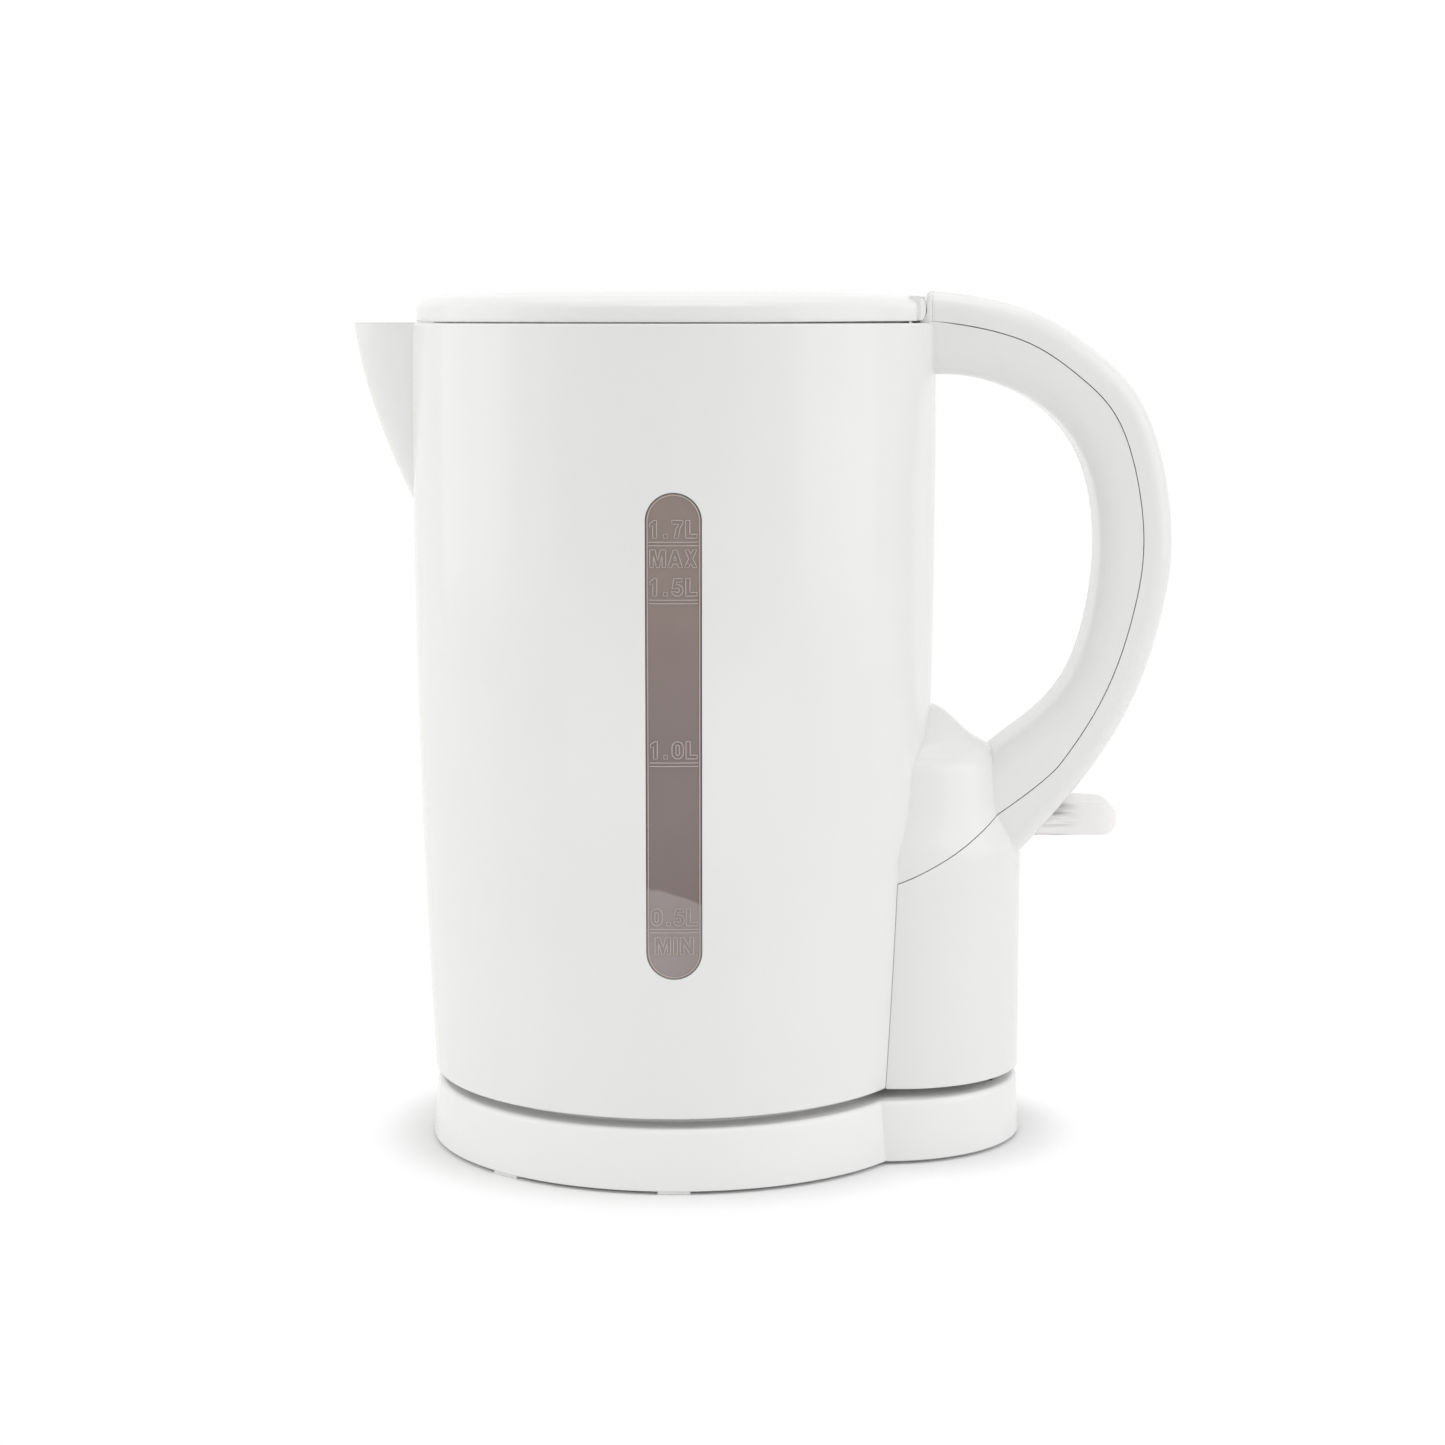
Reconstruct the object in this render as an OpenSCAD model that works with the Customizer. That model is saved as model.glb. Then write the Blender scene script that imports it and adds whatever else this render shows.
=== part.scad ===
// Cordless electric kettle of 1.7 litres on its power base.
// Millimetres, +Z up. The origin is on the table, in the middle of the kettle's footprint box.
// The spout points to -X, the handle to +X, and the level window faces -Y.

/* [Base] */
// Height of the base's top edge above the table
base_h = 16.1; // [13:0.1:22]
// Height of the feet below the base's lower edge
foot_h = 0.8; // [0.5:0.1:2]
// How far the base's lower edge stands out beyond the jug's
base_margin = 1.8; // [1:0.1:4]
// How much narrower the base is at its top edge
base_draft = 1.3; // [0.5:0.1:2.5]
// Distance of the round base's centre behind the jug's axis
base_back = 1; // [0:0.1:2]
// Wall of the base's shell
base_wall = 2.2; // [1.8:0.1:3]
// Rounding of the base's top edge
base_edge_r = 1.5; // [0.5:0.1:2]
// Gap between the jug's wall and the low table that carries the jug
table_gap = 4.6; // [3.5:0.1:6]
// Thickness of the plate that closes the base
base_plate_t = 2; // [1.5:0.1:3]
// Tangential width of a foot
foot_w = 8; // [5:0.5:12]
// Inner radius of the cord gland
gland_bore_r = 3.2; // [2.5:0.1:3.4]

/* [Jug] */
// Gap between the base's top edge and the jug's lower edge
body_gap = 2.4; // [1.5:0.1:4]
// Height of the jug from its lower edge to its rim
jug_h = 193; // [188:1:198]
// Largest outer radius of the jug
belly_r = 67.1; // [66:0.1:69]
// Height of the largest radius above the jug's lower edge
belly_z = 156.5; // [140:0.5:170]
// Radius of the slow curve of the jug's side
side_curve_r = 2970; // [2400:10:5000]
// Wall of the jug, the handle and the rear housing
wall = 2.4; // [2:0.1:3]
// Thickness of the water space's floor
floor_t = 2.5; // [2:0.1:4]
// Underside of the floor above the jug's lower edge
floor_z = 3; // [2.5:0.1:5]

/* [Spout] */
// Length of the spout in front of the jug's side
spout_l = 14.8; // [10:0.1:20]
// Half width of the spout where its lip meets the jug
spout_w = 10; // [8:0.5:14]
// Height of the spout from its foot to the rim
spout_h = 48; // [40:1:60]

/* [Lid] */
// How far the lid's edge lies inside the jug's rim
lid_inset = 1.1; // [0.8:0.1:1.8]
// Gap between the rim and the lid
lid_gap = 0.5; // [0.3:0.1:1]
// Height of the lid's flat top above the rim
lid_h = 8; // [7.8:0.1:9]
// Wall of the lid's cover
lid_wall = 2; // [1.6:0.1:2.4]
// Gap between the jug's wall and the liner that plugs its mouth
liner_gap = 3; // [2:0.1:6]
// Depth of the liner below the rim
liner_depth = 6; // [4:0.5:7]
// Radius of the hinge pin
hinge_pin_r = 1.25; // [1:0.05:1.4]
// How far the hinge pin lies inside the lid's edge
hinge_inset = 5.8; // [5.6:0.1:6.3]
// Height of the hinge pin above the rim
hinge_h = 3.4; // [3.3:0.1:3.6]

/* [Handle] */
// Reach of the handle behind the jug's side
handle_l = 60.1; // [57:0.1:63]
// Half width of the handle
handle_w = 14; // [12:0.5:17]
// Depth of the outer cover's band around the handle
cover_depth = 7.7; // [6.5:0.1:8.5]
// Rounding of the handle's outer edges
handle_outer_r = 5; // [3:0.5:7]
// Rounding of the handle's inner edges
handle_inner_r = 6; // [3:0.5:7]
// Gap of the seam between the cover and the jug moulding
seam_gap = 0.4; // [0.2:0.1:0.8]

/* [Rear housing] */
// Radius of the rear housing
housing_r = 33; // [32:0.1:36]
// How far the housing's axis lies inside the jug's side
housing_inset = 9.9; // [9:0.1:11]
// Height of the housing's shoulder above the jug's lower edge
shoulder_z = 58.5; // [52:0.5:62]
// Height of the fairing's top above the jug's lower edge
fairing_z = 94.5; // [90:0.5:98]
// Radius of the fairing's side
fairing_r = 28; // [27:0.1:29.5]
// Thickness of the plate below the housing
bottom_cover_t = 2; // [1.5:0.1:3]

/* [Level window] */
// Width of the window
window_w = 13.5; // [10:0.5:16]
// Lower end of the window above the jug's lower edge
window_z = 35.3; // [30:0.5:45]
// Length of the window from end to end
window_l = 118; // [90:1:125]
// Distance of the window's centre line behind the jug's axis
window_x = 0.7; // [-5:0.1:5]

/* [Heating] */
// Radius of the element's tube
element_r = 3.25; // [2.8:0.05:3.5]
// Height of the element's loops above the water space's floor
element_lift = 7; // [6:0.5:9]
// Height of the flange's centre above the jug's lower edge
flange_z = 33; // [32.5:0.5:36]
// Radius of the hole for the element in the jug's rear wall
port_r = 14.5; // [13:0.1:15]
// Radius of the element's flange
flange_r = 18.5; // [18:0.1:19]

/* [Switch] */
// Distance of the lever's pivot behind the jug's side
pivot_back = 12.9; // [12:0.1:13.5]
// Height of the lever's pivot above the jug's lower edge
pivot_z = 65.8; // [65:0.1:67]
// Length of the lever from its pivot to its end
lever_l = 35; // [30:0.5:40]
// Half width of the lever
lever_w = 8.3; // [6:0.1:8.6]
// Height of the lever at its root
lever_h = 9.6; // [8:0.1:10]
// Turn of the lever from off to on, in degrees
lever_turn = 12; // [8:1:14]
// Wall of the lever
lever_wall = 1.2; // [0.8:0.1:1.6]

/* [Connector] */
// Distance of the connector behind the jug's side
socket_back = 7.9; // [7:0.1:8.5]
// Length of the socket along X
socket_l = 15; // [13:0.5:16]
// Width of the socket along Y
socket_w = 28; // [24:0.5:30]
// Height of the socket above the base's top edge
socket_h = 9; // [7:0.5:10]
// Distance of each blade from the earth pin
blade_pitch = 8.5; // [8:0.1:9]

/* [Fits] */
// Clearance of pieces that slide past each other
slide_fit = 0.4; // [0.2:0.05:0.6]
// Clearance of a running pin
pin_fit = 0.05; // [0.02:0.01:0.08]
// Clearance of a screw in its thread
thread_fit = 0.02; // [0.01:0.01:0.05]

/* [Hidden] */
$fn = 96;

white = [0.94, 0.94, 0.93];
tint = [0.55, 0.49, 0.47, 0.85];
frosted = [0.95, 0.93, 0.91, 0.8];
rubber = [0.86, 0.86, 0.85];
steel = [0.72, 0.73, 0.75];
brass = [0.80, 0.66, 0.35];
copper = [0.72, 0.45, 0.32];
black = [0.13, 0.13, 0.14];
silicone = [0.80, 0.42, 0.34];

// A little more than a cut's depth, so that cuts pass right through
over = 1;

// Half of the gap at a seam or beside a sliding piece
half_gap = seam_gap / 2;

// ---- Frame ----

jug_bottom_z = base_h + body_gap;
jug_x = (spout_l - handle_l) / 2;

module at_base() {
    translate([jug_x, 0, 0]) children();
}

module at_kettle() {
    translate([jug_x, 0, jug_bottom_z]) children();
}

// ---- Curves ----

// A smooth curve through the points, one span to each unit of t
function spline(p, t) =
    let (
        last = len(p) - 1,
        i = max(0, min(floor(t), last - 1)),
        s = t - i,
        a = i == 0 ? 2 * p[0] - p[1] : p[i - 1],
        b = p[i],
        c = p[i + 1],
        d = i + 2 > last ? 2 * p[last] - p[last - 1] : p[i + 2]
    )
    0.5 * (2 * b + (c - a) * s + (2 * a - 5 * b + 4 * c - d) * s * s
        + (3 * b - a - 3 * c + d) * s * s * s);

// Left-hand unit normal of that curve
function spline_normal(p, t) =
    let (e = 0.01, d = spline(p, t + e) - spline(p, t - e), n = norm(d)) [-d.y, d.x] / n;

// A rectangle from -t to t and -w to w, with its corners rounded by ra at -t and rb at t
function round_ring(t, w, ra, rb, steps) = [
    for (corner = [[-1, -1, ra], [1, -1, rb], [1, 1, rb], [-1, 1, ra]])
        let (
            r = max(corner[2], 0.2),
            start = corner.x < 0 ? (corner.y < 0 ? 180 : 90) : (corner.y < 0 ? 270 : 0)
        )
        for (k = [0 : steps])
            let (a = start + 90 * k / steps)
            [corner.x * (t - r) + r * cos(a), corner.y * (w - r) + r * sin(a)]
];

// A closed solid through rings of equally many points
module loft(rings) {
    n = len(rings[0]);
    last = len(rings) - 1;
    points = [for (ring = rings) each ring];
    sides = [
        for (i = [0 : last - 1], j = [0 : n - 1])
            let (k = (j + 1) % n, a = i * n + j, b = i * n + k, c = a + n, d = b + n)
            each [[a, c, b], [b, c, d]]
    ];
    first_cap = [for (j = [0 : n - 1]) j];
    last_cap = [for (j = [n - 1 : -1 : 0]) last * n + j];
    polyhedron(points, concat([first_cap], sides, [last_cap]));
}

// A cylinder along X from x0 to x1
module rod_x(r, x0, x1) {
    translate([x0, 0, 0]) rotate([0, 90, 0]) cylinder(r = r, h = x1 - x0);
}

// A cylinder along Y from y0 to y1
module rod_y(r, y0, y1) {
    translate([0, y1, 0]) rotate([90, 0, 0]) cylinder(r = r, h = y1 - y0);
}

// A box centred on X and Y that stands on z = 0
module block(l, w, h) {
    translate([-l / 2, -w / 2, 0]) cube([l, w, h]);
}

// A block with upright rounded edges
module round_block(l, w, h, r) {
    linear_extrude(h) {
        square([l - 2 * r, w], center = true);
        square([l, w - 2 * r], center = true);
        for (x = [-1, 1], y = [-1, 1])
            translate([x * (l / 2 - r), y * (w / 2 - r)]) circle(r);
    }
}

// An upright screw with its head's top at z = 0 and its tip below
module screw(head_r, head_h, shank_r, length) {
    translate([0, 0, -head_h]) cylinder(r = head_r, h = head_h);
    translate([0, 0, -length]) cylinder(r = shank_r - thread_fit, h = length - head_h + 0.1);
}

// ---- Jug form, in the kettle's own heights ----

function jug_r(z) = belly_r - pow(z - belly_z, 2) / (2 * side_curve_r);

side_steps = 10;

// The jug's outline moved out by d, from z0 to z1
module jug_form(d, z0, z1) {
    rotate_extrude()
        polygon(concat(
            [[0, z0]],
            [for (k = [0 : side_steps]) let (z = z0 + (z1 - z0) * k / side_steps) [jug_r(z) + d, z]],
            [[0, z1]]
        ));
}

water_floor_z = floor_z + floor_t;
foot_r = jug_r(0);
rim_r = jug_r(jug_h);

// ---- Spout form ----

spout_foot_z = jug_h - spout_h;
spout_foot_x = jug_r(spout_foot_z) - wall / 2;
spout_reach = belly_r + spout_l;
spout_bulge = [spout_reach - wall - spout_foot_x, spout_h * 0.56];
spout_levels = 10;
spout_ring_steps = 12;

// Front outline of the spout, from its foot to its lip
function spout_x(s) =
    pow(1 - s, 2) * spout_foot_x + 2 * s * (1 - s) * (spout_foot_x + spout_bulge.x) + s * s * spout_reach;
function spout_z(s) = spout_foot_z + 2 * s * (1 - s) * spout_bulge.y + s * s * spout_h;

// Spout with a D-shaped section, made smaller by d on each side
module spout_form(d, lift) {
    root = belly_r - 2 * wall;
    depth = spout_reach - root;
    loft([
        for (k = [0 : spout_levels])
            let (
                s = k / spout_levels,
                reach = max(spout_x(s) - d - root, 0.3),
                half = max(spout_w * sqrt((spout_x(s) - root) / depth) - d, 0.3)
            )
            [
                for (j = [0 : spout_ring_steps])
                    let (a = 90 - 180 * j / spout_ring_steps)
                    [-root - reach * cos(a), half * sin(a), spout_z(s) + (k == spout_levels ? lift : 0)]
            ]
    ]);
}

// ---- Handle form ----

// Stations along the handle. The first number is a part of the handle's reach, and the second
// a part of the height from the fairing's top to the rim, to which the third adds millimetres.
inner_stations = [
    [-0.118, 1, -13.5], [0.082, 1, -13.1], [0.298, 1, -16.3], [0.498, 0.759, 0],
    [0.641, 0.629, 0], [0.697, 0.447, 0], [0.672, 0.254, 0], [0.581, 0.081, 0],
    [0.424, 0, -3.1], [0.258, 0, -10.9], [0.115, 0, -20.5]
];
outer_stations = [
    [-0.118, 1, 8.3], [0.115, 1, 7.1], [0.423, 1, 2.1], [0.681, 0.919, 0],
    [0.892, 0.761, 0], [1, 0.482, 0], [0.963, 0.249, 0], [0.85, 0.032, 0],
    [0.656, 0, -16.7], [0.431, 0, -33], [0.248, 0, -44.5]
];
function handle_points(stations) = [
    for (p = stations)
        [belly_r + p[0] * handle_l, fairing_z + p[1] * (jug_h - fairing_z) + p[2]]
];
handle_inner = handle_points(inner_stations);
handle_outer = handle_points(outer_stations);
handle_spans = len(handle_outer) - 1;
handle_span_rings = 3;
handle_corner_steps = 4;

// Handle form, made smaller by d on each side
module handle_form(d) {
    loft([
        for (k = [0 : handle_spans * handle_span_rings])
            let (
                t = k / handle_span_rings,
                a = spline(handle_inner, t),
                b = spline(handle_outer, t),
                half = norm(b - a) / 2,
                n = (b - a) / (2 * half),
                c = (a + b) / 2
            )
            [
                for (p = round_ring(half - d, handle_w - d, handle_inner_r - d, handle_outer_r - d,
                    handle_corner_steps))
                    [c.x + p.x * n.x, -p.y, c.y + p.x * n.y]
            ]
    ]);
}

// ---- Rear housing form ----

housing_x = belly_r - housing_inset;

// Side outline of the housing and of its fairing, from the shoulder to the middle
fairing_outline = [
    [housing_r, shoulder_z - 1], [housing_r - 0.7, shoulder_z + 3], [fairing_r + 1.6, shoulder_z + 8.5],
    [fairing_r + 0.4, shoulder_z + 15.5], [fairing_r - 0.2, fairing_z - 15],
    [fairing_r - 2.2, fairing_z - 11.3], [fairing_r - 7, fairing_z - 8.5],
    [fairing_r - 11.5, fairing_z - 4.7], [fairing_r - 15.5, fairing_z - 1.2],
    [fairing_r - 19.5, fairing_z - 0.1], [0, fairing_z]
];
fairing_span_steps = 3;

// Housing form with its fairing, made smaller by d
module housing_form(d, z0) {
    last = len(fairing_outline) - 1;
    translate([housing_x, 0, 0])
        rotate_extrude()
            polygon(concat(
                [[0, z0], [housing_r - d, z0]],
                [
                    for (k = [0 : last * fairing_span_steps - 1])
                        let (t = k / fairing_span_steps)
                        spline(fairing_outline, t) + d * spline_normal(fairing_outline, t)
                ],
                [[0, fairing_z - d]]
            ));
}

// ---- Seam between the jug moulding and the cover ----

// Where the seam leaves the handle's curve, in stations
seam_end_t = 8.1;
// Where the seam meets the jug's side
seam_foot = [housing_x - 0.9, shoulder_z - 5.7];
// How far the seam's tail keeps the handle's direction, and the way it runs up from its foot
seam_lead = 7;
seam_rise = [15.1, 5.3];
seam_steps = 20;
far = 200;

// The curve from a to d that sets out towards b and comes in from c
function bezier(a, b, c, d, s) =
    pow(1 - s, 3) * a + 3 * s * pow(1 - s, 2) * b + 3 * s * s * (1 - s) * c + pow(s, 3) * d;

// Everything on the cover's side of the seam, drawn back from the seam by g
module cover_side(g) {
    curve = [
        for (k = [0 : seam_steps])
            let (t = seam_end_t * k / seam_steps)
            spline(handle_outer, t) - (cover_depth - g) * spline_normal(handle_outer, t)
    ];
    corner = curve[seam_steps];
    normal = spline_normal(handle_outer, seam_end_t);
    slope = seam_rise / norm(seam_rise);
    foot = seam_foot + g * [slope.y, -slope.x];
    tail = [
        for (k = [1 : seam_steps])
            bezier(corner, corner + seam_lead * [normal.y, -normal.x], foot + seam_rise, foot, k / seam_steps)
    ];
    rotate([90, 0, 0])
        linear_extrude(far, center = true)
            polygon(concat(
                [curve[0] - [handle_w, 0]],
                curve,
                tail,
                [foot - fairing_z * slope, [0, -far], [far, -far], [far, 2 * far], [0, 2 * far]]
            ));
}

lid_r = rim_r - lid_inset;
// Neck of the handle stays this far behind the jug's axis above the rim
neck_r = lid_r + 2 * slide_fit;
hinge_x = lid_r - hinge_inset;

// The hollow of the handle and the housing
module rear_hollow() {
    difference() {
        handle_form(wall);
        cylinder(r = neck_r + wall, h = far);
    }
    housing_form(wall, -over);
}

// The hollow shell of the handle and the housing together
module rear_shell() {
    difference() {
        union() {
            handle_form(0);
            housing_form(0, 0);
        }
        rear_hollow();
    }
}

// ---- Level window ----

window_clear = 0.1;
window_flange = 3;
window_flange_t = 1.5;
window_gasket_t = 0.8;
// Film of sealant on both sides of the gasket
seal_film = 0.05;

// The window's outline with its edge moved out by d, through the near wall from y0 to y1
module window_prism(d, y0, y1) {
    w = window_w / 2 + d;
    z0 = window_z + window_w / 2;
    z1 = window_z + window_l - window_w / 2;
    translate([window_x, 0, z0]) rod_y(w, y0, y1);
    translate([window_x, 0, z1]) rod_y(w, y0, y1);
    translate([window_x - w, y0, z0]) cube([2 * w, y1 - y0, z1 - z0]);
}

// The part of a shell around the jug's axis that lies inside the window's outline
module window_layer(d, outer, inner) {
    intersection() {
        difference() {
            jug_form(outer, 0, jug_h);
            jug_form(inner, -over, jug_h + over);
        }
        window_prism(d, -belly_r - over, -belly_r / 2);
    }
}

module level_window() {
    color(tint) at_kettle() {
        window_layer(-window_clear, 0, -wall - window_gasket_t - 0.1);
        window_layer(window_flange, -wall - window_gasket_t, -wall - window_gasket_t - window_flange_t);
    }
}

module window_gasket() {
    color(silicone) at_kettle() difference() {
        window_layer(window_flange, -wall - seal_film, -wall - window_gasket_t + seal_film);
        window_prism(0, -belly_r - over, 0);
    }
}

// ---- Jug ----

// Flat land on both sides of the rear wall, around the element's hole
land_r = flange_r + 0.5;
land_in_x = foot_r - wall - 3.5;
land_out_x = foot_r + 5;

// Small feet below the floor that stand on the base's table
rest_r = 3;
rest_place_r = foot_r - 17;
rest_z = 1;

// Rails that hold the filter behind the spout
filter_angle = 13;
filter_gap = 0.3;
filter_t = 2;
filter_top_z = jug_h - liner_depth - 1;
filter_h = 36;
rail_t = 1.6;
rail_depth = filter_gap + filter_t + 0.8;
ledge_t = 1.5;

steam_port_r = 3;
steam_port_z = jug_h - 9;
steam_port_l = 15;

hinge_screw_x = hinge_x + 15;
hinge_screw_y = 5;
hinge_screw_r = 1;
hinge_screw_l = 9;
hinge_head_r = 2;
hinge_head_h = 1.2;
hinge_post_r = 2.4;

// Holes for the control's screws, from x0 to x1
module control_screw_holes(r, x0, x1) {
    translate([0, 0, flange_z])
        for (a = [90, 210, 330])
            rotate([a, 0, 0]) translate([0, control_screw_place, 0]) rod_x(r, x0 - over, x1 + over);
}

module filter_rails() {
    z0 = filter_top_z - filter_h - ledge_t;
    inner = jug_r(z0) - wall;
    for (side = [-1, 1])
        rotate([0, 0, 180 + side * (filter_angle + 1)])
            translate([inner - rail_depth, -rail_t / 2, z0])
                cube([rail_depth + wall / 2, rail_t, filter_h + ledge_t]);
    translate([0, 0, z0])
        rotate([0, 0, 180 - filter_angle - 1])
            rotate_extrude(angle = 2 * filter_angle + 2)
                translate([inner - rail_depth, 0]) square([rail_depth + wall / 2, ledge_t]);
}

// Posts in the handle's neck that take the hinge bracket's screws
module hinge_posts() {
    foot_z = handle_inner[1].y + wall / 2;
    for (side = [-1, 1])
        translate([hinge_screw_x, side * hinge_screw_y, foot_z])
            cylinder(r = hinge_post_r, h = bracket_z - foot_z);
}

module jug_body() {
    color(white) at_kettle() difference() {
        union() {
            difference() {
                union() {
                    jug_form(0, 0, jug_h);
                    spout_form(0, 0);
                    difference() {
                        rear_shell();
                        cover_side(-half_gap);
                        translate([0, 0, jug_h]) cylinder(r = neck_r, h = lid_h);
                    }
                }
                jug_form(-wall, water_floor_z, jug_h + over);
                jug_form(-wall, -over, floor_z);
                spout_form(wall, over);
            }
            translate([0, 0, flange_z]) rod_x(land_r, land_in_x, land_out_x);
            for (a = [45 : 90 : 315])
                rotate([0, 0, a]) translate([rest_place_r, 0, rest_z])
                    cylinder(r = rest_r, h = floor_z - rest_z + floor_t / 2);
            filter_rails();
            hinge_posts();
        }
        window_prism(0, -belly_r - over, -belly_r / 2);
        translate([0, 0, flange_z]) rod_x(port_r, land_in_x - over, land_out_x + over);
        translate([0, 0, steam_port_z]) rod_x(steam_port_r, belly_r - steam_port_l, belly_r + wall);
        for (side = [-1, 1])
            translate([hinge_screw_x, side * hinge_screw_y, bracket_z - hinge_screw_l])
                cylinder(r = hinge_screw_r, h = 2 * hinge_screw_l);
        control_screw_holes(control_screw_r, land_in_x, land_out_x);
    }
}

// ---- Base ----

base_r = foot_r + base_margin;
table_r = foot_r - wall - table_gap;
lobe_x = housing_x;
lobe_r = housing_r + 0.4;
lobe_draft = base_draft / 2;
table_z = jug_bottom_z + rest_z;

// The base's outline as a solid, made smaller by d, from z0 to z1
module base_form(d, z0, z1, edge) {
    for (disc = [[base_back, base_r, base_draft], [lobe_x, lobe_r, lobe_draft]])
        translate([disc[0], 0, 0])
            rotate_extrude() {
                bottom = disc[1] - d;
                top = disc[1] - disc[2] - d;
                polygon([[0, z0], [bottom, z0], [top, z1 - edge], [top - edge, z1], [0, z1]]);
                if (edge > 0)
                    translate([top - edge, z1 - edge]) intersection() {
                        circle(edge);
                        square(edge);
                    }
            }
}

base_skin = 2.5;
skin_z = base_h - base_skin;

boss_r = 3.5;
base_screw_angles = [46, 140, 220, 314];
base_screw_places = [for (a = base_screw_angles) (table_r - 5) * [cos(a), sin(a)]];
base_screw_r = 1.5;
base_screw_l = 9;
base_screw_head_r = 2.8;
base_screw_head_h = 1.2;
screw_clear = 0.2;

gland_x = 0;
gland_z = 8.8;
gland_r = gland_bore_r + 1.4;
gland_lip = 1;
gland_l = 8;
clamp_y = base_r - 16.8;
clamp_screw_pitch = 8;
clamp_l = 24;
clamp_w = 8;
clamp_t = 2;
clamp_boss_r = 3;
clamp_screw_r = 1.1;
clamp_screw_l = 8;
clamp_head_r = 2;
clamp_head_h = 0.6;
clamp_z = gland_z - gland_bore_r - clamp_t;

socket_flange_t = 2;
socket_flange = 3;
socket_corner = 3;

module base_shell() {
    color(white) at_base() difference() {
        union() {
            difference() {
                union() {
                    base_form(0, foot_h, base_h, base_edge_r);
                    translate([0, 0, skin_z]) cylinder(r = table_r, h = table_z - skin_z);
                }
                base_form(base_wall, foot_h - over, skin_z, 0);
                translate([0, 0, -over]) cylinder(r = table_r - base_wall, h = table_z - base_skin + over);
            }
            for (p = base_screw_places)
                translate([p.x, p.y, foot_h + base_plate_t])
                    cylinder(r = boss_r, h = table_z - foot_h - base_plate_t - base_skin / 2);
            for (side = [-1, 1])
                translate([gland_x + side * clamp_screw_pitch, clamp_y, clamp_z + clamp_t])
                    cylinder(r = clamp_boss_r, h = table_z - clamp_z - clamp_t - base_skin / 2);
        }
        for (p = base_screw_places)
            translate([p.x, p.y, foot_h]) cylinder(r = base_screw_r, h = base_screw_l + over);
        for (side = [-1, 1])
            translate([gland_x + side * clamp_screw_pitch, clamp_y, clamp_z])
                cylinder(r = clamp_screw_r, h = clamp_screw_l);
        translate([socket_x, 0, 0])
            round_block(socket_l + slide_fit, socket_w + slide_fit, far, socket_corner);
        translate([gland_x, 0, gland_z]) rod_y(gland_r, base_r - 2 * gland_l, base_r + over);
    }
}

plate_clear = 0.3;

module base_bottom_plate() {
    clear = base_wall + plate_clear;
    color(white) at_base() translate([0, 0, foot_h]) difference() {
        union() {
            translate([base_back, 0, 0]) cylinder(r = base_r - base_draft / 4 - clear, h = base_plate_t);
            translate([lobe_x, 0, 0]) cylinder(r = lobe_r - lobe_draft / 4 - clear, h = base_plate_t);
        }
        for (p = base_screw_places)
            translate([p.x, p.y, -over]) {
                cylinder(r = base_screw_r + screw_clear, h = base_plate_t + 2 * over);
                cylinder(r = base_screw_head_r + screw_clear, h = over + base_screw_head_h);
            }
    }
}

module base_screws() {
    color(steel) at_base()
        for (p = base_screw_places)
            translate([p.x, p.y, foot_h])
                rotate([180, 0, 0])
                    screw(base_screw_head_r, base_screw_head_h, base_screw_r, base_screw_l);
}

foot_l = 6;
foot_angles = [90.5, 132, 228, 269.5];
foot_place_r = base_r - foot_l / 2 - 0.6;
rear_foot_angle = 35;
rear_foot_inset = 3;

module base_feet() {
    color(rubber) at_base() {
        for (a = foot_angles)
            translate([base_back, 0, 0]) rotate([0, 0, a]) translate([foot_place_r, 0, 0])
                block(foot_l, foot_w, foot_h);
        for (side = [-1, 1])
            translate([lobe_x, 0, 0]) rotate([0, 0, side * rear_foot_angle])
                translate([lobe_r - foot_l / 2 - rear_foot_inset, 0, 0])
                    block(foot_l, foot_w, foot_h);
    }
}

// ---- Cord gland and clamp ----

gland_lip_t = 1.5;

module cord_gland() {
    wall_y = sqrt(pow(base_r, 2) - pow(gland_x - base_back, 2)) - base_draft / 2;
    y0 = wall_y - gland_l;
    lip_y = wall_y - base_wall - gland_lip;
    color(white) at_base() translate([gland_x, 0, gland_z]) difference() {
        union() {
            rod_y(gland_r - pin_fit, y0, wall_y - half_gap);
            rod_y(gland_r + gland_lip, lip_y - gland_lip_t, lip_y);
        }
        rod_y(gland_bore_r, y0 - over, wall_y + over);
        translate([-gland_l, y0, gland_r - pin_fit]) cube(2 * gland_l);
    }
}

module cord_clamp() {
    color(white) at_base() translate([gland_x, clamp_y, clamp_z]) difference() {
        block(clamp_l, clamp_w, clamp_t);
        for (side = [-1, 1])
            translate([side * clamp_screw_pitch, 0, -over])
                cylinder(r = clamp_screw_r + screw_clear, h = clamp_t + 2 * over);
    }
}

module cord_clamp_screws() {
    color(steel) at_base()
        for (side = [-1, 1])
            translate([gland_x + side * clamp_screw_pitch, clamp_y, clamp_z - clamp_head_h])
                rotate([180, 0, 0]) screw(clamp_head_r, clamp_head_h, clamp_screw_r, clamp_screw_l);
}

// ---- Socket in the base ----

socket_x = belly_r + socket_back;
blade_l = 6.3;
blade_t = 0.8;
blade_slot = 1;
earth_r = 2;
socket_top_z = base_h + socket_h;
socket_bottom_z = foot_h + base_plate_t + plate_clear;
socket_floor_t = 1.5;
socket_roof_t = 2;
socket_hole_clear = 0.4;
clip_t = 0.5;
clip_gap = 0.1;
clip_floor_t = 1;
clip_h = socket_top_z - socket_bottom_z - socket_floor_t - socket_roof_t - 1;

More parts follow.
